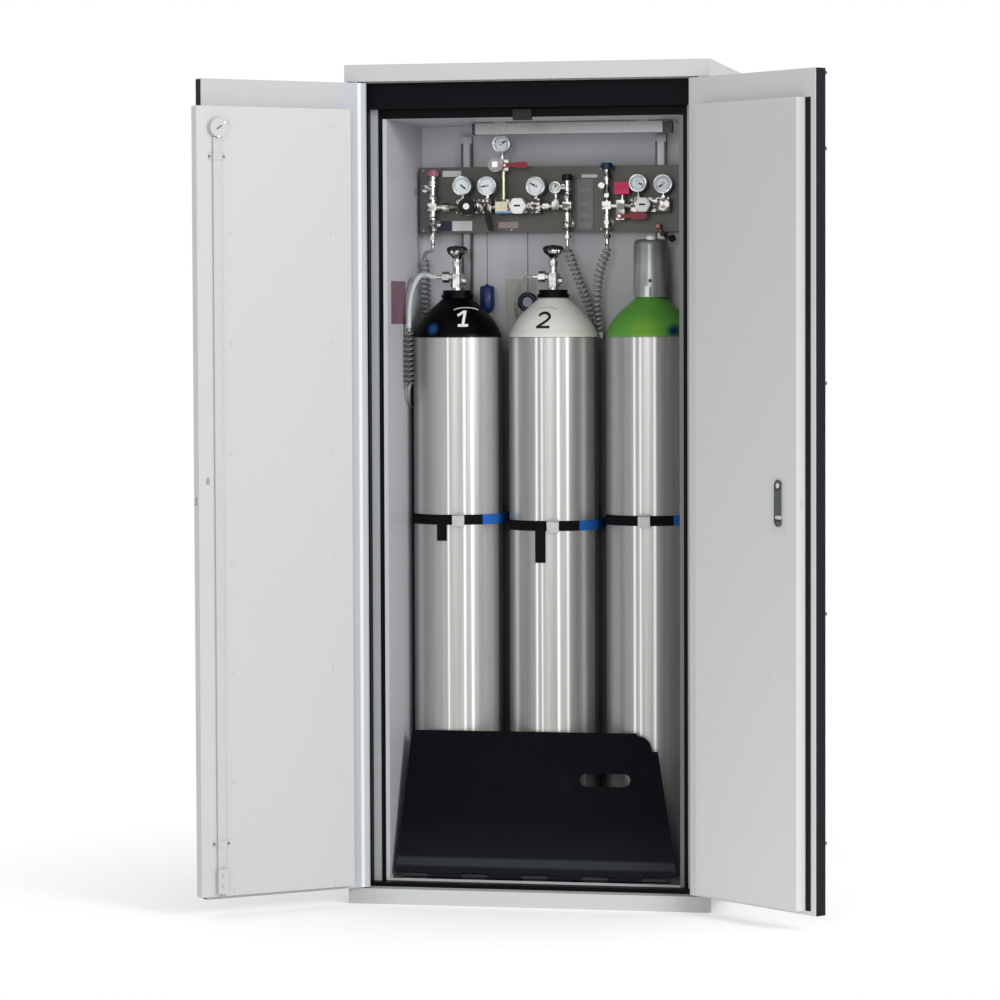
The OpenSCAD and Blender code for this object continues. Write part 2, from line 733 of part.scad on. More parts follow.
// round knob on top of a valve column
module knob_top(i, r) {
    c = cols[i];
    z = pz + c[1] + knob_gap;
    rod_z(c[0], front_d, z - 16, z, 4);
    rod_z(c[0], front_d, z, z + 13, r);
    rod_z(c[0], front_d, z + 13, z + 16, r - 3);
    for (k = [0:7]) translate([c[0], front_d - cab_d / 2, z + 2]) rotate([0, 0, k * 45])
        translate([r - 0.6, -1.5, 0]) cube([1.6, 3, 9]);
}

module valve_knob_1() {
    color("indianred") knob_top(0, 14);
}

module valve_knob_2() {
    color("dimgrey") knob_top(1, 13);
}

module valve_knob_3() {
    color("steelblue") knob_top(2, 15);
}

module panel_pipework() {
    color("goldenrod") {
        rod_x(front_d, line_h, cols[0][0] + 11, regs[0][0], pipe_d / 2);
        hex_x(front_d, line_h, cols[0][0] + 26, cols[0][0] + 44, 11);
        rod_x(front_d, line_h, regs[0][1], regs[1][0], pipe_d / 2);
        rod_x(front_d, line_h, regs[1][1], cols[1][0] - 11, pipe_d / 2);
        hex_x(front_d, line_h, regs[1][1] + 4, regs[1][1] + 20, 12);
        slab(-6, 12, front_d - 16, front_d + 9, line_h - 9, pz + dials[4][4]);
        // line from the third column with its ball valve
        rod_x(front_d, line_h, cols[2][0] + 11, regs[2][0], pipe_d / 2);
        slab(157, 178, front_d - 14, front_d + 12, line_h - 36, line_h + 13);
        rod_y(167, line_h - 27, front_d - 27, front_d - 14, 4);
        rod_z(171, front_d, line_h + 13, line_h + 40, 6);
        slab(152, 190, front_d - 12, front_d + 10, line_h + 28, line_h + 58);
        // riser from the second block to the upper valve and the top gauge
        rod_z(-131, front_d - 7, line_h + 18, line_h + 89, 6);
        slab(-158, -117, front_d - 17, front_d + 8, line_h + 89, pz + dials[2][4]);
        rod_y(-146, line_h + 104, front_d - 28, front_d - 17, 5);
        rod_y(-146, line_h + 104, front_d - 38, front_d - 28, 18.5);
        rod_y(-125, line_h + 103, front_d - 27, front_d - 17, 4);
        rod_y(-131, line_h + 100, front_d + 8, panel_pos, 6);
    }
}

// hand lever turning about Y: hub with a bore, bar of length l with a grip w wide, at angle a
module lever_y(x, z, d0, l, w, a) {
    translate([x, d0 - cab_d / 2, z]) rotate([0, a, 0]) difference() {
        union() {
            rotate([-90, 0, 0]) cylinder(r = 7, h = 9);
            translate([0, 0, -5]) cube([l - w / 2, 5, 10]);
            translate([l * 0.45, 0, -w / 2]) cube([l * 0.55 - w / 2, 5, w]);
            translate([l - w / 2, 0, 0]) rotate([-90, 0, 0]) cylinder(r = w / 2, h = 5);
        }
        translate([0, -1, 0]) rotate([-90, 0, 0]) cylinder(r = 4 + run_gap, h = 11);
    }
}

module lever_left() {
    color("black") lever_y(-176, line_h + 3, front_d - 31, 68, 15, 74);
}

module lever_upper() {
    color("firebrick") lever_y(-125, line_h + 103, front_d - 27, 60, 15, 0);
}

module lever_right() {
    color("firebrick") lever_y(167, line_h - 27, front_d - 26, 70, 17, 0);
}

// tube through a list of points [x, d, z], n sides
function dir_at(p, i) =
    let (a = p[max(i - 1, 0)], b = p[min(i + 1, len(p) - 1)]) (b - a) / norm(b - a);
function smooth(p, n) = [for (i = [0:len(p) - 2]) for (k = [0:n - 1])
    let (t = k / n, a = p[max(i - 1, 0)], b = p[i], c = p[i + 1], d = p[min(i + 2, len(p) - 1)])
    ((2 * b) + (c - a) * t + (2 * a - 5 * b + 4 * c - d) * t * t
    + (3 * b - a - 3 * c + d) * t * t * t) / 2, p[len(p) - 1]];
module tube(q, r, n) {
    p = smooth(q, 4);
    m = len(p);
    pts = [for (i = [0:m - 1]) let (t = dir_at(p, i), u0 = cross([0, 1, 0], t), u = u0 / norm(u0),
        v = cross(t, u)) for (k = [0:n - 1])
        p[i] + r * (cos(k * 360 / n) * u + sin(k * 360 / n) * v) + [0, back_in - hose_back - cab_d / 2, pz]];
    sides = [for (i = [0:m - 2]) for (k = [0:n - 1])
        [i * n + k, i * n + (k + 1) % n, (i + 1) * n + (k + 1) % n, (i + 1) * n + k]];
    ends = [[for (k = [n - 1:-1:0]) k], [for (k = [0:n - 1]) (m - 1) * n + k]];
    polyhedron(points = pts, faces = concat(sides, ends), convexity = 6);
}

module pigtails() {
    color("silver") {
        tube(hose_l1, 6.5, 10);
        tube(coil_l1, coil_r, 10);
        tube(hose_l2, 2.8, 8);
        tube(coil_l2, coil_r, 10);
        tube(hose_l3, 4.5, 8);
        tube(coil_a, coil_r, 10);
        tube(hose_a, 4.5, 8);
        tube(coil_b, coil_r, 10);
    }
}

module wall_plate() {
    color("firebrick") slab(-inner_x, 1.5 - inner_x, 117, 271, pz - 229, pz - 123);
}

// steel gas cylinder standing on the floor tray
module gas_cylinder(x) {
    nr = neck_d / 2;
    translate([x, cyl_pos - cab_d / 2, floor_z]) rotate_extrude($fn = 96) difference() {
        union() {
            square([cyl_r - 12, 20]);
            translate([0, 12]) square([cyl_r, cyl_wall - 12]);
            translate([cyl_r - 12, 12]) intersection() {
                circle(r = 12, $fn = 32);
                translate([0, -13]) square([13, 13]);
            }
            polygon(concat([for (q = shoulder_form)
                [nr + (cyl_r - nr) * q[0], cyl_wall + dome_h * q[1]]],
                [[0, cyl_wall + dome_h], [0, cyl_wall]]));
        }
        translate([-cyl_r * 2, 0]) square([cyl_r * 2, cyl_wall * 2]);
    }
}

module cylinder_left() {
    color("silver") gas_cylinder(cyls[0]);
}

module cylinder_middle() {
    color("silver") gas_cylinder(cyls[1]);
}

module cylinder_right() {
    color("silver") gas_cylinder(cyls[2]);
}

// neck rings of the two open cylinders and the cap of the third
module neck_fittings() {
    color("dimgrey") {
        for (i = [0:1]) difference() {
            union() {
                rod_z(cyls[i], cyl_pos, neck_z, neck_z + 9, 40);
                rod_z(cyls[i], cyl_pos, neck_z + 9, neck_z + 20, 36);
            }
            rod_z(cyls[i], cyl_pos, neck_z - 1, neck_z + 21, 15);
        }
        translate([cyls[2], cyl_pos - cab_d / 2, neck_z]) rotate_extrude($fn = 72) {
            square([guard_d / 2, guard_h - 14]);
            translate([0, guard_h - 14]) square([guard_d / 2 - 14, 14]);
            intersection() {
                translate([guard_d / 2 - 14, guard_h - 14]) circle(r = 14, $fn = 32);
                translate([guard_d / 2 - 14, guard_h - 14]) square([15, 15]);
            }
        }
    }
}

module cylinder_valves() {
    color("goldenrod") for (i = [0:1]) {
        x = cyls[i];
        rod_z(x, cyl_pos, neck_z, neck_z + 20, 14.5);
        rod_z(x, cyl_pos, neck_z + 20, neck_z + 28, 13);
        hex_z(x, cyl_pos, neck_z + 26, outlet_z + 7, 17);
        rod_z(x, cyl_pos, outlet_z + 7, outlet_z + 10, 14);
        rod_z(x, cyl_pos, outlet_z + 7, wheel_z - 3, 9.5);
        hex_z(x, cyl_pos, wheel_z - 18, wheel_z - 6, 12);
        rod_z(x, cyl_pos, wheel_z - 3, wheel_z + 12, 5);
        rod_x(cyl_pos, outlet_z, x - 22, x, 9);
        hex_x(cyl_pos, outlet_z, x - 37, x - 20, 14);
        rod_x(cyl_pos, outlet_z, x - 52, x - 36, 4.5);
        // relief plug
        rod_x(cyl_pos, outlet_z - 10, x, x + 20, 6);
        hex_x(cyl_pos, outlet_z - 10, x + 16, x + 23, 8);
    }
}

// valve handwheel: domed rim over a cup, with finger notches
module handwheel(x) {
    r = wheel_d / 2;
    translate([x, cyl_pos - cab_d / 2, wheel_z]) difference() {
        rotate_extrude($fn = 64) polygon([[0, 0], [r * 0.36, 0], [r * 0.42, 3], [r * 0.62, 8],
            [r * 0.88, 13], [r, 18], [r, 24], [r * 0.94, 28], [r * 0.8, 31], [r * 0.55, 32.5],
            [r * 0.3, 31.5], [r * 0.26, 34], [0, 34]]);
        for (k = [0:6]) rotate([0, 0, k * 360 / 7]) translate([r + 2.8, 0, 5])
            cylinder(r = 5, h = 30);
        translate([0, 0, -2]) cylinder(r = 5 + run_gap, h = 14.5);
    }
}

module handwheel_left() {
    color("dimgrey") handwheel(cyls[0]);
}

module handwheel_middle() {
    color("dimgrey") handwheel(cyls[1]);
}

// webbing round the front half of a cylinder, back to the rail
module strap(x, z) {
    ri = cyl_r + strap_gap;
    ro = ri + strap_t;
    back = back_in - strap_rail_t - cyl_pos;
    translate([x, cyl_pos - cab_d / 2, z]) linear_extrude(height = strap_w) {
        difference() {
            circle(r = ro, $fn = 96);
            circle(r = ri, $fn = 96);
            translate([-ro - 1, 0]) square([2 * ro + 2, ro + 1]);
        }
        translate([ri, -0.01]) square([strap_t, back + 0.01]);
        translate([-ro, -0.01]) square([strap_t, back + 0.01]);
    }
}

// hanging end of a strap
module strap_tail(x, z0, z1, a, w) {
    ro = cyl_r + strap_gap + strap_t;
    translate([x, cyl_pos - cab_d / 2, 0]) rotate([0, 0, a]) difference() {
        translate([-w / 2, -ro - strap_t, z0]) cube([w, ro, z1 - z0]);
        translate([0, 0, z0 - 1]) cylinder(r = ro - 0.6, h = z1 - z0 + 2, $fn = 96);
    }
}

module cylinder_straps() {
    color("black") {
        for (i = [0:2]) strap(cyls[i], floor_z + strap_z[i]);
        strap_tail(cyls[0], floor_z + strap_z[0] - 40, floor_z + strap_z[0] + strap_w - 1, -9, 25);
        strap_tail(cyls[1], floor_z + strap_z[1] - 79, floor_z + strap_z[1] + strap_w - 1, -7, 26);
    }
}

module strap_buckles() {
    ro = cyl_r + strap_gap + strap_t;
    ang = [12, 9, 1];
    color("dimgrey") for (i = [0:2]) translate([cyls[i], cyl_pos - cab_d / 2, floor_z + strap_z[i] - 4])
        rotate([0, 0, ang[i]]) difference() {
            translate([-15, -ro - 9, 0]) cube([30, 14, strap_w + 8]);
            translate([0, 0, -1]) cylinder(r = ro, h = strap_w + 12, $fn = 96);
            translate([-20, -ro - 10, strap_w + 1]) rotate([30, 0, 0]) cube([40, 4, 12]);
        }
}

module ramp_hinge() {
    color("black") {
        difference() {
            slab(-inner_x + 4, inner_x - 4, ramp_d + 8, ramp_d + 30, floor_z, floor_z + 3);
            for (x = fixed_k) rod_z(x, ramp_d + 22, floor_z + 1.5, floor_z + 4, 5);
        }
        for (x = fixed_k) {
            slab(x - 30, x + 30, ramp_d - 4, ramp_d + 9, floor_z, ramp_z - ramp_pin / 2);
            rod_x(ramp_d, ramp_z, x - 30, x + 30, knuckle_d / 2);
        }
        rod_x(ramp_d, ramp_z, fixed_k[0] - 30, fixed_k[4] + 30, ramp_pin / 2);
    }
}

// ramp plate in its own plane: X across, Y up along the plate
module ramp_outline() {
    top = ramp_l;
    difference() {
        polygon([[-ramp_w, 9], [ramp_w, 9], [ramp_w - 75, top], [-ramp_w + 14, top]]);
        translate([ramp_w - 75 - 46, top - 46]) difference() {
            square([80, 80]);
            circle(r = 46 - 6);
            translate([-1, -41]) square([80, 41]);
        }
        translate([112, slot_l]) circle(r = 17);
        translate([205, slot_l]) circle(r = 17);
        translate([112, slot_l - 17]) square([93, 34]);
    }
}

module ramp() {
    color("black") translate([0, ramp_d - cab_d / 2, ramp_z]) rotate([-ramp_lean, 0, 0])
        difference() {
            union() {
                translate([0, ramp_t / 2, 0]) rotate([90, 0, 0]) linear_extrude(height = ramp_t)
                    ramp_outline();
                for (x = moving_k) {
                    translate([x - 40, 0, 0]) rotate([0, 90, 0]) cylinder(r = knuckle_d / 2, h = 80);
                    translate([x - 40, -ramp_t / 2, 0]) cube([80, ramp_t, 10]);
                }
            }
            translate([-ramp_w, 0, 0]) rotate([0, 90, 0])
                cylinder(r = ramp_pin / 2 + run_gap, h = 2 * ramp_w);
        }
}

// left leaf, drawn closed as a mirrored right-hand leaf, then mirrored and swung open
module left_place() {
    left_swing() mirror([1, 0, 0]) children();
}

module left_skin() {
    color("lightgrey") left_place() difference() {
        leaf_body(left_end, 0);
        leaf_body(left_end, skin_t);
        slab(left_end + skin_t, pan_x, leaf_t - skin_t - 1, leaf_t + 1, pan_z0, pan_z1);
        pivot_bores();
    }
}

module left_core() {
    color("white") left_place() difference() {
        union() {
            leaf_body(left_end, skin_t);
            slab(left_end + skin_t, pan_x - skin_t, leaf_t - skin_t, step_d - skin_t,
                pan_z0 + skin_t, pan_z1 - skin_t);
            slab(tongue_x + skin_t, left_end + skin_t, tongue_d + skin_t, step_d - skin_t,
                pan_z0 + skin_t, pan_z1 - skin_t);
        }
        pivot_bores();
        left_pocket();
        slab(-4, 8, step_d - 12, step_d, button_z - 9, button_z + 9);
    }
}

// pocket for the right leaf's latch bolt
module left_pocket() {
    slab(tongue_x - 1, tongue_x + 14, latch_d0 - 1.5, latch_d0 + latch_w + 1.5,
        lock_z - latch_h / 2 - 2, lock_z + latch_h / 2 + 2);
}

module left_inner_panel() {
    color("lightgrey") left_place() {
        difference() {
            union() {
                slab(left_end + skin_t, pan_x, leaf_t - skin_t, step_d, pan_z0, pan_z1);
                slab(left_end, left_end + skin_t, leaf_t, step_d, pan_z0, pan_z1);
                slab(tongue_x, left_end, tongue_d, step_d, pan_z0, pan_z1);
            }
            slab(left_end + skin_t, pan_x - skin_t, leaf_t - skin_t - 1, step_d - skin_t,
                pan_z0 + skin_t, pan_z1 - skin_t);
            slab(tongue_x + skin_t, left_end + 2 * skin_t, tongue_d + skin_t, step_d - skin_t,
                pan_z0 + skin_t, pan_z1 - skin_t);
            left_pocket();
            button_shape(step_d - skin_t - 1, step_d + 1, 0.3);
        }
        caps([68, 335]);
    }
}

module left_pivots() {
    color("silver") left_place() pivot_pins();
}

module left_edge_seal() {
    color("black") left_place() slab(left_end - 1.3, left_end, 4, leaf_t - 4, leaf_z0 + 1.5, leaf_z1 - 1.5);
}

// upright round-ended shape of the release button, at the closed leaf
module button_shape(d0, d1, g) {
    rod_y(2, button_z - 4, d0, d1, 4 + g);
    rod_y(2, button_z + 4, d0, d1, 4 + g);
    slab(-2 - g, 6 + g, d0, d1, button_z - 4, button_z + 4);
}

module release_button() {
    color("black") left_place() {
        button_shape(step_d - 4, step_d + 1.5, 0);
    }
}

// cover of the bolt rods, saddles and latch cases
module rod_cover() {
    cx = bolt_x - 2.5;
    low = latch_low_z + latch_low_h;
    high = latch_z - latch_d / 2 + 1;
    color("lightgrey") left_place() {
        difference() {
            slab(cx - cover_w / 2, cx + cover_w / 2, step_d, step_d + cover_t, low, high - 1);
            slab(cx - cover_w / 2 + 1, cx + cover_w / 2 - 1, step_d - 1, step_d + cover_t - 1,
                low - 1, high + 1);
        }
        for (z = [latch_z - 69, latch_low_z + 120]) difference() {
            slab(cx - cover_w / 2 - 10, cx + cover_w / 2 + 10, step_d, step_d + cover_t + 2, z - 8, z + 8);
            slab(cx - cover_w / 2, cx + cover_w / 2, step_d - 1, step_d + cover_t, z - 9, z + 9);
            for (s = [-1, 1]) slab(cx + s * (cover_w / 2 + 6) - 5, cx + s * (cover_w / 2 + 6) + 5,
                step_d + 2, step_d + cover_t + 3, z - 9, z + 9);
        }
        difference() {
            union() {
                rod_y(bolt_x, latch_z, step_d, step_d + latch_t, latch_d / 2);
                rod_y(bolt_x, latch_z, step_d, step_d + 3, latch_d / 2 + 3);
            }
            latch_ways(latch_z - 40, latch_z + 40);
        }
        difference() {
            slab(bolt_x - 15, bolt_x + 11, step_d, step_d + latch_t, latch_low_z, low);
            latch_ways(latch_low_z - 5, low + 5);
        }
    }
}

// ways for the bolt and its flat rod
module latch_ways(z0, z1) {
    rod_z(bolt_x, bolt_c, z0, z1, bolt_d / 2 + run_gap);
    slab(bolt_x - 4.3, bolt_x + 4.3, step_d - 1, step_d + 4.7, z0, z1);
}

module top_bolt() {
    color("silver") left_place() {
        rod_z(bolt_x, bolt_c, latch_z - 12, bolt_top_tip, bolt_d / 2);
        slab(bolt_x - 4, bolt_x + 4, step_d + 0.3, step_d + 4.4, button_z + 52, latch_z + 10);
    }
}

module bottom_bolt() {
    color("silver") left_place() {
        rod_z(bolt_x, bolt_c, bolt_low_tip, latch_low_z + latch_low_h - 12, bolt_d / 2);
        slab(bolt_x - 4, bolt_x + 4, step_d + 0.3, step_d + 4.4, latch_low_z + 8, button_z - 148);
    }
}

// right leaf, drawn closed and swung open
module right_skin() {
    color("lightgrey") right_swing() difference() {
        leaf_body(right_end, 0);
        leaf_body(right_end, skin_t);
        slab(right_step, pan_x, leaf_t - skin_t - 1, leaf_t + 1, pan_z0, pan_z1);
        pivot_bores();
        rod_y(lock_x, lock_z, -1, skin_t + 1, 5 + run_gap);
    }
}

module right_core() {
    color("white") right_swing() difference() {
        union() {
            leaf_body(right_end, skin_t);
            slab(right_step + skin_t, pan_x - skin_t, leaf_t - skin_t, step_d - skin_t,
                pan_z0 + skin_t, pan_z1 - skin_t);
        }
        pivot_bores();
        rod_y(lock_x, lock_z, 0, latch_d0 - 2, 5 + run_gap);
        slab(right_step, right_step + 54, latch_d0 - 0.3, latch_d0 + latch_w + 0.3,
            lock_z - latch_h / 2 - 0.3, lock_z + latch_h / 2 + 0.3);
    }
}

module right_inner_panel() {
    color("lightgrey") right_swing() {
        difference() {
            slab(right_step, pan_x, leaf_t - skin_t, step_d, pan_z0, pan_z1);
            slab(right_step + skin_t, pan_x - skin_t, leaf_t - skin_t - 1, step_d - skin_t,
                pan_z0 + skin_t, pan_z1 - skin_t);
            slab(right_step - 1, right_step + 3, latch_d0 - 0.3, latch_d0 + latch_w + 0.3,
                lock_z - latch_h / 2 - 0.3, lock_z + latch_h / 2 + 0.3);
        }
        caps([right_step + 81, pan_x - 55]);
    }
}

module right_pivots() {
    color("silver") right_swing() pivot_pins();
}

// end profile, ledge gasket and small buffers of the right leaf
module right_gaskets() {
    color("black") right_swing() {
        slab(right_end - seal_t, right_end, 2, leaf_t - 2, leaf_z0, leaf_z1);
        slab(right_step - 17, right_step, leaf_t, leaf_t + 1.5, pan_z0, pan_z1);
        for (b = buffers) {
            rod_y(right_end + 8, leaf_z1 - b, -7, 0, 5);
        }
    }
}

// outer rose and inner plate of the lock
module lock_plates() {
    color("dimgrey") right_swing() {
        difference() {
            rod_y(lock_x, lock_z, -8, 0, rose_d / 2);
            rod_y(lock_x, lock_z, -9, 1, 9 + run_gap);
        }
        slab(lock_x - 27, lock_x + 27, step_d, step_d + 1, lock_z - 68, lock_z + 57);
        slab(lock_x - 11.5, lock_x + 11.5, step_d + 1, step_d + 3.5, lock_z - 36.5, lock_z + 38.5);
        for (z = [lock_z - 36.5, lock_z + 38.5]) rod_y(lock_x, z, step_d + 1, step_d + 3.5, 11.5);
    }
}

module latch_bolt() {
    color("silver") right_swing() slab(right_step + 0.2, right_step + 52, latch_d0, latch_d0 + latch_w,
        lock_z - latch_h / 2, lock_z + latch_h / 2);
}

// lever handle on the outside of the right leaf
module door_handle() {
    color("black") right_swing() {
        rod_y(lock_x, lock_z, -lever_up + 8, -0.5, 9);
        rod_y(lock_x, lock_z, -lever_up, -lever_up + 12, 11);
        rod_y(lock_x, lock_z, -1, latch_d0 - 3, 5);
        slab(lock_x, lock_x + lever_l - 9, -lever_up, -lever_up + 12, lock_z - 9, lock_z + 9);
        rod_y(lock_x + lever_l - 9, lock_z, -lever_up, -lever_up + 12, 9);
    }
}

side_panels();
back_panel();
roof_panel();
cornice();
plinth_panel();
base_frame();
levelling_feet();
fire_boards();
liner_panels();
floor_tray();
door_frame();
expansion_strips();
pivot_bearings();
exhaust_spigot();
bolt_keep();
mounting_rails();
gas_panel();
gauges();
regulators();
valve_columns();
panel_pipework();
pigtails();
wall_plate();
cylinder_left();
cylinder_middle();
cylinder_right();
neck_fittings();
cylinder_valves();
cylinder_straps();
strap_buckles();
ramp_hinge();
ramp();
left_skin();
left_core();
left_inner_panel();
left_pivots();
left_edge_seal();
rod_cover();
top_bolt();
bottom_bolt();
release_button();
right_skin();
right_core();
right_inner_panel();
right_pivots();
right_gaskets();
lock_plates();
latch_bolt();
door_handle();
handwheel_left();
handwheel_middle();
regulator_knob_1();
regulator_knob_2();
regulator_knob_3();
valve_knob_1();
valve_knob_2();
valve_knob_3();
lever_left();
lever_upper();
lever_right();
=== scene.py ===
"""Looks of a fireproof gas cylinder cabinet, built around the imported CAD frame."""

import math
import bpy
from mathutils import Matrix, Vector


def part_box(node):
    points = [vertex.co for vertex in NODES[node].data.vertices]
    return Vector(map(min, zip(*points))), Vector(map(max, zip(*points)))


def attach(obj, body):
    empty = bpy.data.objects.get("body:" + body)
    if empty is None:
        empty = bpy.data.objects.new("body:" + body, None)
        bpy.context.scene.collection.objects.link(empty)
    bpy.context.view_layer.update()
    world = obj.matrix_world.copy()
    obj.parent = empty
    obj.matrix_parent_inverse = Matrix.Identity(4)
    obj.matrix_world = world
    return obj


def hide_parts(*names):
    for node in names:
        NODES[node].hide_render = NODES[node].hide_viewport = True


bl_info = {
    "name": "Gas Cylinder Cabinet",
    "version": (1, 0, 0),
    "blender": (4, 5, 0),
    "location": "View3D > Sidebar > Cabinet",
    "description": "Materials, coiled hoses, dials, screws and a studio stage for a gas cylinder cabinet",
    "category": "Object",
}

import bpy
from bpy.props import FloatProperty, FloatVectorProperty, IntProperty, PointerProperty
from mathutils import Matrix, Vector
from mathutils.bvhtree import BVHTree

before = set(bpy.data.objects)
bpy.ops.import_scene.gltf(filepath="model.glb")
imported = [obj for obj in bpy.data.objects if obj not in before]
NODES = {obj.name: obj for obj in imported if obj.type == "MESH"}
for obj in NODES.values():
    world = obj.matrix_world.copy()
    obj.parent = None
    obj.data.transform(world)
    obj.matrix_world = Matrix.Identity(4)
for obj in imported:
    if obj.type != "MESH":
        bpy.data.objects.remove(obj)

X, Y, Z = 0, 1, 2
HIGH = 1
MM = 1000.0


def far_side(node, axis):
    """Higher end of a node's box along an axis in metres, to a tenth of a millimetre."""
    return round(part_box(node)[HIGH][axis], 4)


def middle(node, axis):
    """Middle of a node's box in metres, to a tenth of a millimetre."""
    return round(sum(corner[axis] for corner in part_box(node)) / 2, 4)


# Places in metres, most of them read from the frame. A depth is counted from the front of the cornice.
HALF_DEPTH = far_side("back_panel", Y)
PIVOT_X = 0.424
PIVOT_Y = 0.010 - HALF_DEPTH
OPEN_ANGLE = math.radians(140)
STEP_DEPTH = 0.062
PANEL_LOW = 1.650
PANEL_DEPTH = 0.425
LINE_UP = 0.065
LINE_DEPTH = 0.385
GAUGE_FRONT = LINE_DEPTH - 0.022
KNOB_FRONT = LINE_DEPTH - 0.057
CYLINDERS = ("cylinder_left", "cylinder_middle", "cylinder_right")
CYLINDER_Y = middle("cylinder_middle", Y)
CYLINDER_TONE = (0.435, 0.43, 0.42)
SHOULDER_Z = 1.387
WHEEL_Z = 1.583
ORIGIN = Vector((0, HALF_DEPTH * MM, 0))
TOWARDS_FRONT = Vector((0, -1, 0))
TOWARDS_BACK = Vector((0, 1, 0))
UPWARDS = Vector((0, 0, 1))
DOWNWARDS = Vector((0, 0, -1))


def metres(p):
    """A point [x, depth, z] in millimetres as a vector in the shared frame."""
    return Vector((p[0] / MM, p[1] / MM - HALF_DEPTH, p[2] / MM))


def millimetres(v):
    """A place of the shared frame back as [x, depth, z] in millimetres."""
    return Vector((v[0] * MM, (v[1] + HALF_DEPTH) * MM, v[2] * MM))


def stands_open(side):
    """Places a point of a closed leaf where it stands open. side is 1 for the left leaf, -1 for the right."""
    axis = Vector((-side * PIVOT_X, PIVOT_Y, 0))
    turn = Matrix.Rotation(-side * OPEN_ANGLE, 4, "Z")
    return Matrix.Translation(axis) @ turn @ Matrix.Translation(-axis)


class Solid:
    """Collects simple closed shapes, in millimetres as x, depth, z, and turns them into one mesh."""

    def __init__(self):
        self.verts = []
        self.faces = []
        self.paints = []
        self.index = []
        self.smooth = []

    def add(self, verts, faces, paint=None, smooth=False):
        """Adds faces, which count from the first of the verts, in one paint."""
        base = len(self.verts)
        self.verts += verts
        if paint not in self.paints:
            self.paints.append(paint)
        for corners in faces:
            self.faces.append([base + i for i in corners])
            self.index.append(self.paints.index(paint))
            self.smooth.append(smooth)

    def box(self, x, depth, z, paint=None, place=None):
        """Box between two values each of x, depth and z."""
        verts = [Vector((a, b, c)) for a in x for b in depth for c in z]
        if place:
            verts = [place @ v for v in verts]
        faces = [(0, 1, 3, 2), (4, 6, 7, 5), (0, 4, 5, 1), (2, 3, 7, 6), (0, 2, 6, 4), (1, 5, 7, 3)]
        self.add(verts, faces, paint)

    def lathe(self, start, axis, profile, paint=None, sides=32, smooth=True):
        """Turns a profile of (distance along the axis, radius) about the axis."""
        start = Vector(start)
        axis = Vector(axis).normalized()
        side = axis.orthogonal().normalized()
        third = axis.cross(side)
        verts = []
        for along, radius in profile:
            for k in range(sides):
                a = 2 * math.pi * k / sides
                verts.append(start + axis * along + (side * math.cos(a) + third * math.sin(a)) * radius)
        self.add(verts, skin(len(profile), sides), paint, smooth)
        self.add(verts, lids(len(profile), sides), paint, False)

    def disc(self, start, axis, radius, height, paint=None, sides=32, chamfer=0.0):
        """Flat disc, with a chamfer round its outer face where one is given."""
        if chamfer:
            profile = [(0, radius), (height - chamfer, radius), (height, radius - chamfer)]
        else:
            profile = [(0, radius), (height, radius)]
        self.lathe(start, axis, profile, paint, sides, smooth=False)

    def tube(self, points, radius, paint=None, sides=8):
        """Tube along points, with its rings turned as little as possible."""
        rings = []
        normal = None
        for i, p in enumerate(points):
            tangent = (points[min(i + 1, len(points) - 1)] - points[max(i - 1, 0)]).normalized()
            if normal is None:
                normal = tangent.orthogonal().normalized()
            normal = (normal - tangent * normal.dot(tangent)).normalized()
            other = tangent.cross(normal)
            rings.append([p + (normal * math.cos(2 * math.pi * k / sides)
                               + other * math.sin(2 * math.pi * k / sides)) * radius for k in range(sides)])
        self.loft(rings, paint, True)

    def loft(self, rings, paint=None, smooth=False):
        """Skin over rings of equal count, closed at both ends."""
        sides = len(rings[0])
        verts = [v for ring in rings for v in ring]
        self.add(verts, skin(len(rings), sides) + lids(len(rings), sides), paint, smooth)

    def build(self, name, place=None):
        """Makes the object, in metres in the shared frame, and returns it."""
        mesh = bpy.data.meshes.new(name)
        points = [metres(v) for v in self.verts]
        if place:
            points = [place @ p for p in points]
        mesh.from_pydata([tuple(p) for p in points], [], self.faces)
        for paint in self.paints:
            if paint:
                mesh.materials.append(paint)
        mesh.polygons.foreach_set("material_index", self.index)
        mesh.polygons.foreach_set("use_smooth", self.smooth)
        mesh.update()
        return linked(name, mesh)


def skin(rings, sides):
    """Faces between rings of equal count."""
    faces = []
    for i in range(rings - 1):
        for k in range(sides):
            n = (k + 1) % sides
            faces.append((i * sides + k, i * sides + n, (i + 1) * sides + n, (i + 1) * sides + k))
    return faces


def lids(rings, sides):
    """Faces that close the first and the last ring."""
    return [tuple(range(sides - 1, -1, -1)), tuple((rings - 1) * sides + k for k in range(sides))]


def linked(name, data):
    """New object in the scene."""
    obj = bpy.data.objects.new(name, data)
    bpy.context.scene.collection.objects.link(obj)
    return obj


def smooth_path(points, steps):
    """Catmull-Rom curve through the points, the rule that the frame's hoses follow."""
    out = []
    for i in range(len(points) - 1):
        a, b = points[max(i - 1, 0)], points[i]
        c, d = points[i + 1], points[min(i + 2, len(points) - 1)]
        for k in range(steps):
            t = k / steps
            out.append((2 * b + (c - a) * t + (2 * a - 5 * b + 4 * c - d) * t * t
                        + (3 * b - a - 3 * c + d) * t * t * t) / 2)
    out.append(points[-1])
    return out


# Materials


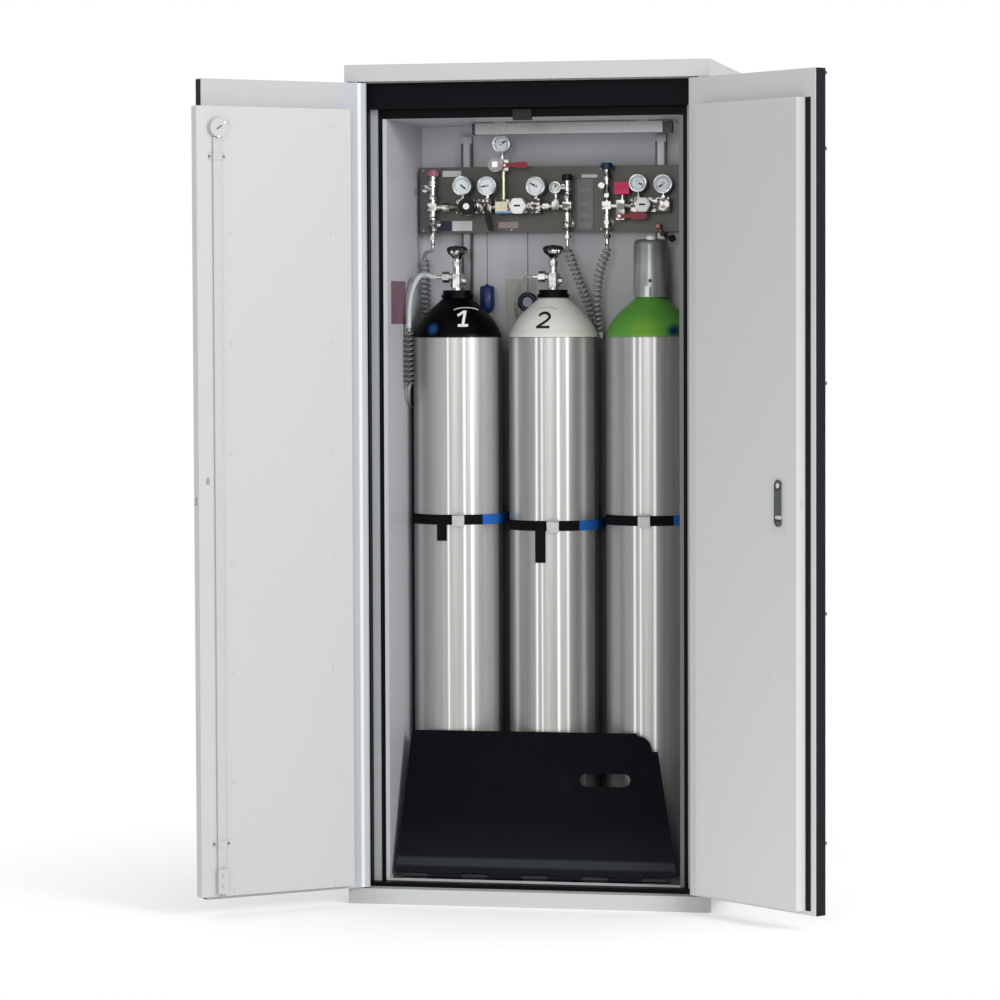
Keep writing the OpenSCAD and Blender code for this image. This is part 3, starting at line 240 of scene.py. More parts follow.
class Shader:
    """Small helper that wires a procedural material on Object coordinates."""

    def __init__(self, name):
        self.material = bpy.data.materials.new(name)
        self.material.use_nodes = True
        self.tree = self.material.node_tree
        self.bsdf = self.tree.nodes["Principled BSDF"]
        self.coords = self.tree.nodes.new("ShaderNodeTexCoord").outputs["Object"]

    def node(self, kind, **values):
        """New node with its settings."""
        made = self.tree.nodes.new(kind)
        for key, value in values.items():
            setattr(made, key, value)
        return made

    def link(self, out, into):
        self.tree.links.new(out, into)

    def put(self, value, socket):
        """Gives a socket a number or a colour, or wires another node's output into it."""
        if isinstance(value, (int, float)):
            socket.default_value = value
        elif isinstance(value, tuple):
            socket.default_value = (*value, 1.0)
        else:
            self.link(value, socket)

    def color(self, value):
        self.put(value, self.bsdf.inputs["Base Color"])

    def specular(self, value):
        self.put(value, self.bsdf.inputs["Specular IOR Level"])

    def roughness(self, value):
        self.put(value, self.bsdf.inputs["Roughness"])

    def metallic(self, value):
        self.put(value, self.bsdf.inputs["Metallic"])

    def bump(self, height, strength, distance=0.0003):
        """Fine relief, its distance in metres."""
        made = self.node("ShaderNodeBump")
        made.inputs["Strength"].default_value = strength
        made.inputs["Distance"].default_value = distance
        self.link(height, made.inputs["Height"])
        self.link(made.outputs["Normal"], self.bsdf.inputs["Normal"])

    def orange_peel(self, strength, distance=0.0003, scale=900.0):
        """Even fine grain of a paint or a plastic."""
        self.bump(self.noise(scale, detail=1.0), strength, distance)

    def scaled(self, scale):
        mapping = self.node("ShaderNodeMapping")
        mapping.inputs["Scale"].default_value = scale
        self.link(self.coords, mapping.inputs["Vector"])
        return mapping.outputs["Vector"]

    def noise(self, scale, stretch=(1, 1, 1), detail=3.0, vector=None):
        made = self.node("ShaderNodeTexNoise")
        made.inputs["Scale"].default_value = scale
        made.inputs["Detail"].default_value = detail
        self.link(vector or self.scaled(stretch), made.inputs["Vector"])
        return made.outputs["Fac"]

    def axis(self, name):
        """X, Y or Z of the place, in metres."""
        made = self.node("ShaderNodeSeparateXYZ")
        self.link(self.coords, made.inputs[0])
        return made.outputs[name]

    def math(self, operation, *values):
        made = self.node("ShaderNodeMath", operation=operation)
        for socket, value in zip(made.inputs, values):
            self.put(value, socket)
        return made.outputs[0]

    def times(self, *values):
        """Product of all the values."""
        product = values[0]
        for value in values[1:]:
            product = self.math("MULTIPLY", product, value)
        return product

    def line(self, value, factor, start):
        """Factor times the value, plus a start."""
        return self.math("MULTIPLY_ADD", value, factor, start)

    def rest(self, value):
        """What is left of 1."""
        return self.math("SUBTRACT", 1.0, value)

    def ramp(self, value, low, high):
        """0 below low, 1 over high, straight between them."""
        made = self.node("ShaderNodeMapRange")
        made.inputs["From Min"].default_value = low
        made.inputs["From Max"].default_value = high
        self.link(value, made.inputs["Value"])
        return made.outputs["Result"]

    def under(self, value, low, high):
        """1 below low, 0 over high, straight between them."""
        return self.rest(self.ramp(value, low, high))

    def window(self, value, low, high, soft):
        """1 between low and high, with edges twice as wide as soft."""
        over = self.ramp(value, low - soft, low + soft)
        return self.times(over, self.under(value, high - soft, high + soft))

    def spot(self, x, z, radius):
        """1 inside a round spot seen from the front, soft at its rim."""
        across = self.math("SUBTRACT", self.axis("X"), x)
        up = self.math("SUBTRACT", self.axis("Z"), z)
        square = self.math("ADD", self.times(across, across), self.times(up, up))
        return self.under(self.math("SQRT", square), radius * 0.35, radius * 1.35)

    def mix(self, factor, a, b):
        """Colour a where the factor is 0, colour b where it is 1."""
        made = self.node("ShaderNodeMix", data_type="RGBA")
        for socket, value in ((made.inputs[0], factor), (made.inputs[6], a), (made.inputs[7], b)):
            self.put(value, socket)
        return made.outputs[2]


def shade(c, k):
    """A colour made darker or lighter."""
    return tuple(v * k for v in c)


def powder_coat(name, color, roughness=0.5):
    """Powder-coated sheet: fine orange peel and a slow change of tone."""
    s = Shader(name)
    s.specular(0.3)
    s.color(s.mix(s.noise(1.6, detail=2.0), shade(color, 0.97), shade(color, 1.03)))
    s.roughness(s.line(s.noise(40.0), 0.12, roughness - 0.06))
    s.orange_peel(0.12)
    return s.material


def leaf_paint(name, color, low, high, side=0, outer=None):
    """Door sheet whose tone goes from low to high with the height: painted light and shade down the leaf.

    side is 1 for the left skin and -1 for the right one. Their outer face has the outer colour, and the left
    skin's hinge strip is painted shade, darker and bluer, with a pale rim of painted highlight."""
    s = Shader(name)
    s.specular(0.3)
    # painted light and shade: the tone goes from low at the foot to high at the head
    base = s.mix(s.ramp(s.axis("Z"), 0.15, 1.85), shade(color, low), shade(color, high))
    if side:
        # the leaf's own directions, measured from its pivot: away from its outer face, and along it
        x = s.math("ADD", s.axis("X"), side * PIVOT_X)
        y = s.math("SUBTRACT", s.axis("Y"), PIVOT_Y)
        inwards = s.line(x, side * math.sin(OPEN_ANGLE), s.times(y, math.cos(OPEN_ANGLE)))
        if side > 0:
            along = s.line(x, math.cos(OPEN_ANGLE), s.times(y, -math.sin(OPEN_ANGLE)))
            # painted shade on the hinge strip, darker and bluer, and a painted highlight on its pale rim
            base = s.mix(s.window(along, 0.006, 0.060, 0.001), base, (0.415, 0.445, 0.485))
            base = s.mix(s.window(along, -0.004, 0.005, 0.001), base, (0.72, 0.73, 0.73))
        base = s.mix(s.ramp(inwards, 0.002, 0.006), outer, base)
    s.color(s.mix(s.times(s.noise(1.6, detail=2.0), 0.04), base, (0.9, 0.9, 0.9)))
    s.roughness(s.line(s.noise(40.0), 0.12, 0.42))
    s.orange_peel(0.10)
    return s.material


def plinth_paint(name):
    """Plinth sheet, a little darker at both ends: painted shade."""
    s = Shader(name)
    s.specular(0.3)
    slow = s.mix(s.noise(1.6, detail=2.0), (0.49, 0.505, 0.51), (0.525, 0.54, 0.545))
    # painted shade towards both ends of the plinth
    s.color(s.mix(s.ramp(s.math("ABSOLUTE", s.axis("X")), 0.30, 0.445), slow, (0.40, 0.41, 0.41)))
    s.roughness(0.48)
    s.orange_peel(0.12)
    return s.material


def plastic(name, color, roughness=0.4, grain=0.05, specular=0.3):
    """Moulded plastic with a fine grain."""
    s = Shader(name)
    s.specular(specular)
    s.color(s.mix(s.noise(60.0), shade(color, 0.92), shade(color, 1.06)))
    s.roughness(roughness)
    s.orange_peel(grain, 0.0002, 1400.0)
    return s.material


def metal(name, color, roughness=0.3, stretch=(1, 1, 1), spread=0.15, metallic=1.0):
    """Machined, plated or brushed metal. spread is how far its lines differ in tone."""
    s = Shader(name)
    lines = s.noise(60.0, stretch, 4.0)
    s.color(s.mix(lines, shade(color, 1 - spread), shade(color, 1 + spread * 0.6)))
    s.roughness(s.line(lines, 0.10, roughness - 0.04))
    s.metallic(metallic)
    s.bump(lines, 0.05)
    return s.material


def fittings(name, color, dark, share=(0.40, 0.60), scale=38.0, stretch=(1, 1, 1.4), tints=()):
    """Plated fittings with bright and dark patches, painted reflections of small turned parts.

    dark is the tone of the dark patches, share where a patch begins and ends, and tints are (colour, box) of
    parts in another colour."""
    s = Shader(name)
    # painted reflections: bright and dark patches on the plating
    patch = s.ramp(s.noise(scale, stretch, 1.0), *share)
    base = s.mix(patch, shade(color, dark), color)
    for tint, box in tints:
        inside = s.times(*(s.window(s.axis(axis), low, high, 0.0004)
                           for axis, (low, high) in zip("XYZ", box)))
        base = s.mix(inside, base, tint)
    s.color(base)
    s.metallic(0.9)
    s.roughness(s.line(patch, -0.08, 0.26))
    s.bump(s.noise(300.0, detail=2.0), 0.03)
    return s.material


def frame_paint(name):
    """Black frame with faint ribs across its head."""
    s = Shader(name)
    z = s.axis("Z")
    ribs = s.math("SINE", s.times(z, 2 * math.pi / 0.0085))
    head = s.ramp(z, 1.945, 1.947)
    grain = s.times(s.noise(900.0, detail=1.0), 0.12)
    s.color(s.mix(s.noise(3.0), (0.0016, 0.0020, 0.0030), (0.0034, 0.0040, 0.0055)))
    s.specular(0.06)
    s.roughness(0.42)
    s.bump(s.math("ADD", s.times(ribs, head), grain), 0.35, 0.0006)
    return s.material


def liner_board(name):
    """Grey laminated board, with painted light and shade that follow the wall it is on."""
    s = Shader(name)
    x, y, z = s.axis("X"), s.axis("Y"), s.axis("Z")
    base = s.mix(s.noise(2.2, (1, 1, 0.4)), (0.465, 0.470, 0.500), (0.535, 0.540, 0.568))
    # painted light on the upper back wall and painted shade on the right wall; board ends at the front pale
    base = s.mix(s.times(s.ramp(z, 1.42, 1.80), s.ramp(y, 0.14, 0.16)), base, (0.53, 0.53, 0.57))
    base = s.mix(s.ramp(x, 0.358, 0.361), base, (0.17, 0.17, 0.165))
    base = s.mix(s.under(y, -0.2445, -0.2435), base, (0.74, 0.75, 0.76))
    # painted shadow on the back wall behind the cylinders, below their shoulders
    deep = s.times(s.ramp(y, 0.015, 0.040), s.under(z, 1.345, 1.415))
    s.color(s.mix(s.times(deep, 0.75), base, (0.06, 0.06, 0.065)))
    s.specular(0.3)
    s.roughness(0.36)
    s.bump(s.noise(260.0, detail=2.0), 0.04, 0.0004)
    return s.material


def cylinder_steel(name, centre_x, shoulder, gloss, glints, spots, seed):
    """Brushed body with upright streaks and bright glints as painted highlights, painted shoulder over the
    paint line.

    glints are painted highlights as (angle in degrees seen from the front, half width, strength), and a
    strength below 0 is a painted dark reflection. spots are (x, z, radius, colour) of marks on the shoulder."""
    s = Shader(name)
    x = s.math("SUBTRACT", s.axis("X"), centre_x)
    y = s.math("SUBTRACT", s.axis("Y"), CYLINDER_Y)
    z = s.axis("Z")
    angle = s.math("ARCTAN2", x, s.times(y, -1.0))
    round_body = s.node("ShaderNodeCombineXYZ")
    s.link(angle, round_body.inputs[X])
    s.link(s.times(z, 0.05), round_body.inputs[Y])
    round_body.inputs[Z].default_value = seed
    broad = s.noise(4.0, detail=2.0, vector=round_body.outputs[0])
    fine = s.noise(60.0, detail=3.0, vector=round_body.outputs[0])
    tone = s.math("ADD", s.times(broad, 0.6), s.times(fine, 0.4))
    body = s.mix(s.ramp(tone, 0.34, 0.66), shade(CYLINDER_TONE, 0.74), shade(CYLINDER_TONE, 1.16))
    # painted highlights, and painted dark reflections where the strength is below 0
    for place, half, strength in glints:
        at, half = math.radians(place), math.radians(half)
        wide = s.window(angle, at - half, at + half, half * 0.8)
        bright = 1.0 if strength > 0 else 0.10
        body = s.mix(s.times(wide, abs(strength)), body, (bright, bright, bright))
    seam = s.window(z, SHOULDER_Z - 0.0015, SHOULDER_Z - 0.0005, 0.0004)
    body = s.mix(seam, body, (0.08, 0.08, 0.08))
    painted = s.ramp(z, SHOULDER_Z - 0.0005, SHOULDER_Z + 0.0005)
    body = s.mix(painted, body, shoulder)
    for at_x, at_z, radius, paint in spots:
        body = s.mix(s.times(s.spot(at_x, at_z, radius), painted), body, paint)
    s.color(body)
    s.metallic(s.times(s.rest(painted), 0.6))
    s.specular(s.line(painted, gloss - 0.25, 0.25))
    s.roughness(s.line(painted, 0.02, 0.33))
    s.bump(s.math("ADD", fine, s.noise(500.0, detail=1.0)), 0.02, 0.0004)
    return s.material


def webbing(name):
    """Woven black webbing with blue stretches beside the cylinders."""
    s = Shader(name)
    x = s.axis("X")
    blue = s.math("MAXIMUM", s.window(x, -0.164, -0.115, 0.002), s.window(x, 0.082, 0.134, 0.002))
    blue = s.math("MAXIMUM", blue, s.ramp(x, 0.318, 0.321))
    weave = s.node("ShaderNodeTexWave", wave_type="BANDS", bands_direction="Z")
    weave.inputs["Scale"].default_value = 220.0
    weave.inputs["Distortion"].default_value = 1.5
    s.link(s.scaled((1, 1, 1)), weave.inputs["Vector"])
    threads = weave.outputs["Fac"]
    black_cloth = s.mix(threads, (0.002, 0.002, 0.003), (0.008, 0.008, 0.010))
    blue_cloth = s.mix(threads, (0.015, 0.105, 0.38), (0.03, 0.16, 0.56))
    s.color(s.mix(blue, black_cloth, blue_cloth))
    s.specular(0.08)
    s.roughness(0.85)
    s.bump(threads, 0.5, 0.0006)
    return s.material


def ramp_paint(name):
    """Black ramp with faint scuffs, a slightly lighter foot and a lighter band above its hinge."""
    s = Shader(name)
    z = s.axis("Z")
    base = s.mix(s.under(z, 0.075, 0.20), (0.0018, 0.0026, 0.0046), (0.0080, 0.0092, 0.014))
    base = s.mix(s.times(s.ramp(z, 0.40, 0.75), 0.6), base, (0.0040, 0.0046, 0.0062))
    base = s.mix(s.window(z, 0.084, 0.104, 0.003), base, (0.030, 0.033, 0.042))
    scuff = s.ramp(s.noise(9.0, (1, 1, 0.35), 6.0), 0.62, 0.80)
    s.color(s.mix(s.times(scuff, 0.25), base, (0.020, 0.021, 0.025)))
    s.specular(0.05)
    s.roughness(s.line(s.noise(14.0, detail=4.0), 0.22, 0.38))
    s.orange_peel(0.2, scale=700.0)
    return s.material


def neck_metal(name):
    """Painted valve cap with a darker crown, a painted highlight, a hole and a slot in its front, and the
    black neck rings.
    """
    s = Shader(name)
    x, y, z = s.axis("X"), s.axis("Y"), s.axis("Z")
    cap = s.ramp(x, 0.150, 0.152)
    slow = s.ramp(s.noise(34.0, (1, 1, 0.12), 2.0), 0.35, 0.65)
    grey = s.mix(slow, (0.22, 0.240, 0.240), (0.46, 0.485, 0.485))
    grey = s.mix(s.times(s.ramp(z, 1.560, 1.605), 0.6), grey, (0.12, 0.135, 0.14))
    front = s.ramp(s.times(y, -1.0), -0.020, -0.010)
    # a painted highlight as a pale strip, then the slot and the square hole, as (x, softness), (z, softness),
    # how strong and colour
    for across, up, strong, paint in (
            ((0.2400, 0.2490, 0.0015), (1.484, 1.512, 0.003), 0.7, (0.80, 0.81, 0.82)),
            ((0.2520, 0.2570, 0.0010), (1.486, 1.510, 0.002), 0.8, (0.02, 0.03, 0.04)),
            ((0.2500, 0.2575, 0.0006), (1.5215, 1.5295, 0.0006), 1.0, (0.002, 0.002, 0.003))):
        grey = s.mix(s.times(s.window(x, *across), s.window(z, *up), front, strong), grey, paint)
    s.color(s.mix(cap, (0.0012, 0.0012, 0.0016), grey))
    s.specular(s.line(cap, 0.27, 0.08))
    s.roughness(s.line(cap, -0.12, 0.42))
    s.metallic(s.times(cap, 0.45))
    s.bump(s.noise(260.0, detail=2.0), 0.06, 0.0004)
    return s.material


def wheel_metal(name):
    """Handwheel: dark rim over a plated cup with painted reflections."""
    s = Shader(name)
    rim = s.ramp(s.axis("Z"), WHEEL_Z + 0.019, WHEEL_Z + 0.022)
    # painted reflections on the plated cup, bright and dark patches
    patch = s.ramp(s.noise(60.0, (1, 1, 0.6), 2.0), 0.42, 0.60)
    cup = s.mix(patch, (0.05, 0.045, 0.045), (0.82, 0.80, 0.80))
    s.color(s.mix(rim, cup, (0.016, 0.008, 0.010)))
    s.metallic(s.rest(rim))
    s.specular(0.3)
    s.roughness(s.line(rim, 0.12, 0.20))
    return s.material


def rail_zinc(name):
    """Zinc rails: black end caps on the ceiling rail, painted shade in the upright ones' channels and low
    behind the cylinders.
    """
    s = Shader(name)
    x, z = s.axis("X"), s.axis("Z")
    lines = s.noise(40.0, (8, 8, 0.3), 3.0)
    base = s.mix(lines, (0.24, 0.243, 0.248), (0.32, 0.324, 0.33))
    # painted shade: the open channels of the upright rails, and what lies low behind the cylinders, are in
    # the dark
    upright = s.under(z, 1.875, 1.880)
    for centre in (-0.243, 0.256):
        across = s.math("ABSOLUTE", s.math("SUBTRACT", x, centre))
        groove = s.times(s.window(across, 0.0085, 0.0140, 0.0006), upright)
        base = s.mix(groove, base, (0.055, 0.055, 0.058))
    base = s.mix(s.times(s.under(z, 1.06, 1.08), 0.8), base, (0.05, 0.05, 0.055))
    ends = s.math("MAXIMUM", s.under(x, -0.1825, -0.1815), s.ramp(x, 0.2895, 0.2905))
    ceiling_rail = s.times(s.ramp(z, 1.8895, 1.8905), s.window(s.axis("Y"), -0.040, 0.000, 0.001))
    caps = s.times(ends, ceiling_rail)
    s.color(s.mix(caps, base, (0.006, 0.006, 0.008)))
    s.metallic(s.times(s.rest(caps), 0.8))
    s.roughness(0.38)
    s.bump(lines, 0.05)
    return s.material


def panel_steel(name):
    """Brushed stainless gas panel, lines along X."""
    s = Shader(name)
    lines = s.noise(30.0, (0.6, 1, 60), 3.0)
    s.color(s.mix(lines, (0.070, 0.069, 0.063), (0.115, 0.113, 0.103)))
    s.metallic(0.55)
    s.specular(0.2)
    s.roughness(s.line(lines, 0.12, 0.36))
    s.bump(lines, 0.05)
    return s.material


def glass(name):
    """Clear thin glass of a gauge."""
    s = Shader(name)
    s.color((0.95, 0.97, 0.97))
    s.roughness(0.03)
    s.bsdf.inputs["Transmission Weight"].default_value = 1.0
    s.bsdf.inputs["IOR"].default_value = 1.15
    return s.material


MATERIALS = {}


def material(name, make, *args, **kwargs):
    """One material per name, made when first asked for."""
    if name not in MATERIALS:
        MATERIALS[name] = make(name, *args, **kwargs)
    return MATERIALS[name]


def zinc_plate():
    """Zinc-plated screws and pins."""
    return material("zinc", metal, (0.42, 0.43, 0.45), 0.38, (1, 1, 0.1))


def nickel_plate():
    """Nickel-plated valve bodies."""
    return material("nickel", fittings, (0.80, 0.79, 0.77), 0.50)


def fire_board():
    """Pale fireproof filling."""
    return material("fire_board", plastic, (0.55, 0.54, 0.50), 0.9, 0.4)


def black_plastic():
    """Black knobs and grips."""
    return material("black_plastic", plastic, (0.004, 0.004, 0.005), 0.35, 0.05, 0.2)


def dress(paint, *nodes):
    """Gives CAD nodes their material."""
    for node in nodes:
        mesh = NODES[node].data
        mesh.materials.clear()
        mesh.materials.append(paint)


# Geometry Nodes


def new_group(name, numbers):
    """Node group that takes geometry and named numbers, and the outputs of its input node."""
    group = bpy.data.node_groups.new(name, "GeometryNodeTree")
    group.interface.new_socket("Geometry", in_out="INPUT", socket_type="NodeSocketGeometry")
    for label, value in numbers.items():
        socket = group.interface.new_socket(label, in_out="INPUT", socket_type="NodeSocketFloat")
        socket.default_value = value
    group.interface.new_socket("Geometry", in_out="OUTPUT", socket_type="NodeSocketGeometry")
    return group, group.nodes.new("NodeGroupInput").outputs


def end_group(group, geometry, paint):
    """Ends a node group with the geometry made real, in one material."""
    real = group.nodes.new("GeometryNodeRealizeInstances")
    painted = group.nodes.new("GeometryNodeSetMaterial")
    painted.inputs["Material"].default_value = paint
    leave = group.nodes.new("NodeGroupOutput")
    group.links.new(geometry, real.inputs["Geometry"])
    group.links.new(real.outputs["Geometry"], painted.inputs["Geometry"])
    group.links.new(painted.outputs["Geometry"], leave.inputs["Geometry"])


def use_group(obj, group, values):
    """Puts a node group on an object, with its inputs set by their names."""
    modifier = obj.modifiers.new(group.name, "NODES")
    modifier.node_group = group
    for item in group.interface.items_tree:
        if item.name in values:
            modifier[item.identifier] = values[item.name]


def plain_mesh(obj):
    """Mesh of an object as its modifiers make it."""
    bpy.context.view_layer.update()
    return bpy.data.meshes.new_from_object(obj.evaluated_get(bpy.context.evaluated_depsgraph_get()))


def scatter_group(name, prototype, paint):
    """Node group that sets a prototype on every point, turned by the attribute turn."""
    group, inputs = new_group(name, {"Size": 1.0})
    nodes, links = group.nodes, group.links
    info = nodes.new("GeometryNodeObjectInfo")
    info.inputs["Object"].default_value = prototype
    turn = nodes.new("GeometryNodeInputNamedAttribute")
    turn.data_type = "FLOAT_VECTOR"
    turn.inputs["Name"].default_value = "turn"
    place = nodes.new("GeometryNodeInstanceOnPoints")
    links.new(inputs["Geometry"], place.inputs["Points"])
    links.new(info.outputs["Geometry"], place.inputs["Instance"])
    links.new(turn.outputs["Attribute"], place.inputs["Rotation"])
    links.new(inputs["Size"], place.inputs["Scale"])
    end_group(group, place.outputs["Instances"], paint)
    return group


def scatter(name, places, prototype, paint):
    """Sets the prototype at each (point, direction, spin) of the cabinet, as plain mesh."""
    mesh = bpy.data.meshes.new(name)
    mesh.from_pydata([tuple(point) for point, _, _ in places], [], [])
    turn = mesh.attributes.new("turn", "FLOAT_VECTOR", "POINT")
    for i, (_, direction, spin) in enumerate(places):
        facing = direction.to_track_quat("Z", "Y").to_matrix()
        turn.data[i].vector = (facing @ Matrix.Rotation(spin, 3, "Z")).to_euler()
    points = linked(name, mesh)
    use_group(points, scatter_group(name + "_nodes", prototype, paint), {"Size": 1.0})
    plain = linked(name, plain_mesh(points))
    for used in (points, prototype):
        bpy.data.objects.remove(used)
    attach(plain, "cabinet")


def tick_mark():
    """Mark of a dial, lying on its origin along X."""
    half_length, half_width, height = 2.2, 0.616, 0.15
    s = Solid()
    s.box((-half_length, half_length), (ORIGIN.y - half_width, ORIGIN.y + half_width), (0, height))
    return s.build("tick_proto")


def slotted_screw():
    """Screw head with a slot, standing on its origin along Z."""
    radius, height = 3.2, 1.6
    s = Solid()
    s.lathe(ORIGIN, UPWARDS, [(0, radius), (height * 0.6, radius), (height, radius * 0.6)], sides=20)
    s.box((-radius * 0.75, radius * 0.75), (ORIGIN.y - radius * 0.12, ORIGIN.y + radius * 0.12),
          (height, height + 0.05))
    return s.build("screw_proto")


def helix_group(name, paint):
    """Node group that winds a wire round a path curve, narrow at both ends."""
    steps_per_turn = 12.0
    lead_in = 0.012
    group, inputs = new_group(name, {"Coil Radius": 0.0062, "Pitch": 0.0062, "Wire Radius": 0.0022})
    nodes, links = group.nodes, group.links

    def math_node(operation, *values):
        made = nodes.new("ShaderNodeMath")
        made.operation = operation
        for socket, value in zip(made.inputs, values):
            if isinstance(value, (int, float)):
                socket.default_value = value
            else:
                links.new(value, socket)
        return made.outputs[0]

    def vector_node(operation, a, b):
        made = nodes.new("ShaderNodeVectorMath")
        made.operation = operation
        links.new(a, made.inputs[0])
        links.new(b, made.inputs["Scale"] if operation == "SCALE" else made.inputs[1])
        return made.outputs[0]

    resample = nodes.new("GeometryNodeResampleCurve")
    resample.mode = "LENGTH"
    links.new(inputs["Geometry"], resample.inputs["Curve"])
    links.new(math_node("DIVIDE", inputs["Pitch"], steps_per_turn), resample.inputs["Length"])
    gone = nodes.new("GeometryNodeSplineParameter").outputs["Length"]
    whole = nodes.new("GeometryNodeSplineLength").outputs["Length"]
    angle = math_node("MULTIPLY", math_node("DIVIDE", gone, inputs["Pitch"]), 2 * math.pi)
    nearest_end = math_node("MINIMUM", gone, math_node("SUBTRACT", whole, gone))
    lead = math_node("MINIMUM", math_node("DIVIDE", nearest_end, lead_in), 1.0)
    reach = math_node("MULTIPLY", inputs["Coil Radius"], lead)
    tangent = nodes.new("GeometryNodeInputTangent").outputs[0]
    normal = nodes.new("GeometryNodeInputNormal").outputs[0]
    across = vector_node("SCALE", normal, math_node("MULTIPLY", math_node("COSINE", angle), reach))
    around = vector_node("SCALE", vector_node("CROSS_PRODUCT", tangent, normal),
                         math_node("MULTIPLY", math_node("SINE", angle), reach))
    move = nodes.new("GeometryNodeSetPosition")
    links.new(resample.outputs["Curve"], move.inputs["Geometry"])
    links.new(vector_node("ADD", across, around), move.inputs["Offset"])
    ring = nodes.new("GeometryNodeCurvePrimitiveCircle")
    ring.inputs["Resolution"].default_value = 8
    links.new(inputs["Wire Radius"], ring.inputs["Radius"])
    sweep = nodes.new("GeometryNodeCurveToMesh")
    sweep.inputs["Fill Caps"].default_value = True
    links.new(move.outputs["Geometry"], sweep.inputs["Curve"])
    links.new(ring.outputs["Curve"], sweep.inputs["Profile Curve"])
    end_group(group, sweep.outputs["Mesh"], paint)
    return group


def wound(name, points, sizes, paint):
    """Mesh of a tube wound round a path of points in millimetres."""
    curve = bpy.data.curves.new(name, "CURVE")
    curve.dimensions = "3D"
    spline = curve.splines.new("POLY")
    spline.points.add(len(points) - 1)
    for point, place in zip(spline.points, points):
        point.co = (*metres(place), 1.0)
    path = linked(name, curve)
    use_group(path, helix_group(name + "_nodes", paint),
              {"Coil Radius": sizes.coil_radius, "Pitch": sizes.coil_pitch, "Wire Radius": sizes.wire_radius})
    mesh = plain_mesh(path)
    bpy.data.objects.remove(path)
    for polygon in mesh.polygons:
        polygon.use_smooth = True
    return mesh


def joined(name, meshes):
    """One object of several meshes."""
    objects = [linked(f"{name}_{i}", mesh) for i, mesh in enumerate(meshes)]
    bpy.ops.object.select_all(action="DESELECT")
    for obj in objects:
        obj.select_set(True)
    bpy.context.view_layer.objects.active = objects[0]
    bpy.ops.object.join()
    objects[0].name = name
    return objects[0]


# Settings


class CabinetColors(bpy.types.PropertyGroup):
    """Paint colours of the cabinet."""

    shell: FloatVectorProperty(name="Shell", description="Light grey powder coat of the outside",
                               default=(0.470, 0.480, 0.495), subtype="COLOR", size=3, min=0, max=1)
    left_inner: FloatVectorProperty(name="Left inner panel", description="Inside of the left leaf",
                                    default=(0.500, 0.500, 0.508), subtype="COLOR", size=3, min=0, max=1)
    right_inner: FloatVectorProperty(name="Right inner panel", description="Inside of the right leaf",
                                     default=(0.500, 0.500, 0.498), subtype="COLOR", size=3, min=0, max=1)


class CabinetSizes(bpy.types.PropertyGroup):
    """Sizes of the added detail."""

    coil_radius: FloatProperty(name="Coil radius", description="Radius of the coils at the tube's centre",
                               default=0.0095, min=0.002, max=0.02, subtype="DISTANCE", unit="LENGTH")
    coil_pitch: FloatProperty(name="Coil pitch", description="Distance between turns", default=0.0125,
                              min=0.003, max=0.02, subtype="DISTANCE", unit="LENGTH")
    wire_radius: FloatProperty(name="Tube radius", description="Radius of the coiled tube", default=0.0032,
                               min=0.001, max=0.004, subtype="DISTANCE", unit="LENGTH")
    ticks: IntProperty(name="Dial ticks", description="Marks on each gauge dial", default=21, min=5, max=60)


class StageSettings(bpy.types.PropertyGroup):
    """Light and camera."""

    key: FloatProperty(name="Key light", description="Power of the key light", default=300.0, min=0,
                       subtype="POWER", unit="POWER")
    fill: FloatProperty(name="Front light", description="Power of the light from the front", default=150.0,
                        min=0, subtype="POWER", unit="POWER")
    sky: FloatProperty(name="Studio light", description="Strength of the light from all round", default=0.8,
                       min=0)
    lens: FloatProperty(name="Lens", description="Focal length in millimetres", default=137.35, min=20,
                       max=300)


class CABINET_OT_shell(bpy.types.Operator):
    """Paints the shell, the frame and the lining"""

    bl_idname = "cabinet.shell"
    bl_label = "Cabinet Shell"

    def execute(self, context):
        shell = tuple(context.scene.cabinet_colors.shell)
        dress(material("shell_paint", powder_coat, shell, 0.48), "side_panels", "back_panel", "roof_panel",
              "cornice", "exhaust_spigot")
        dress(material("plinth_paint", plinth_paint), "plinth_panel")
        dress(material("base_paint", powder_coat, (0.012, 0.013, 0.015)), "base_frame")
        dress(material("foot_black", plastic, (0.006, 0.006, 0.007), 0.55), "levelling_feet")
        dress(fire_board(), "fire_boards")
        dress(material("frame_black", frame_paint), "door_frame")
        dress(material("keep_black", powder_coat, (0.004, 0.004, 0.005)), "bolt_keep")
        dress(material("strip_grey", plastic, (0.37, 0.385, 0.40), 0.75, 0.3), "expansion_strips")
        dress(material("liner_board", liner_board), "liner_panels")
        dress(material("tray_paint", powder_coat, (0.44, 0.45, 0.47)), "floor_tray")
        dress(material("bearing_steel", metal, (0.35, 0.35, 0.36)), "pivot_bearings")
        dress(material("rail_zinc", rail_zinc), "mounting_rails")
        dress(material("wall_red", plastic, (0.175, 0.085, 0.115), 0.35), "wall_plate")
        return {"FINISHED"}


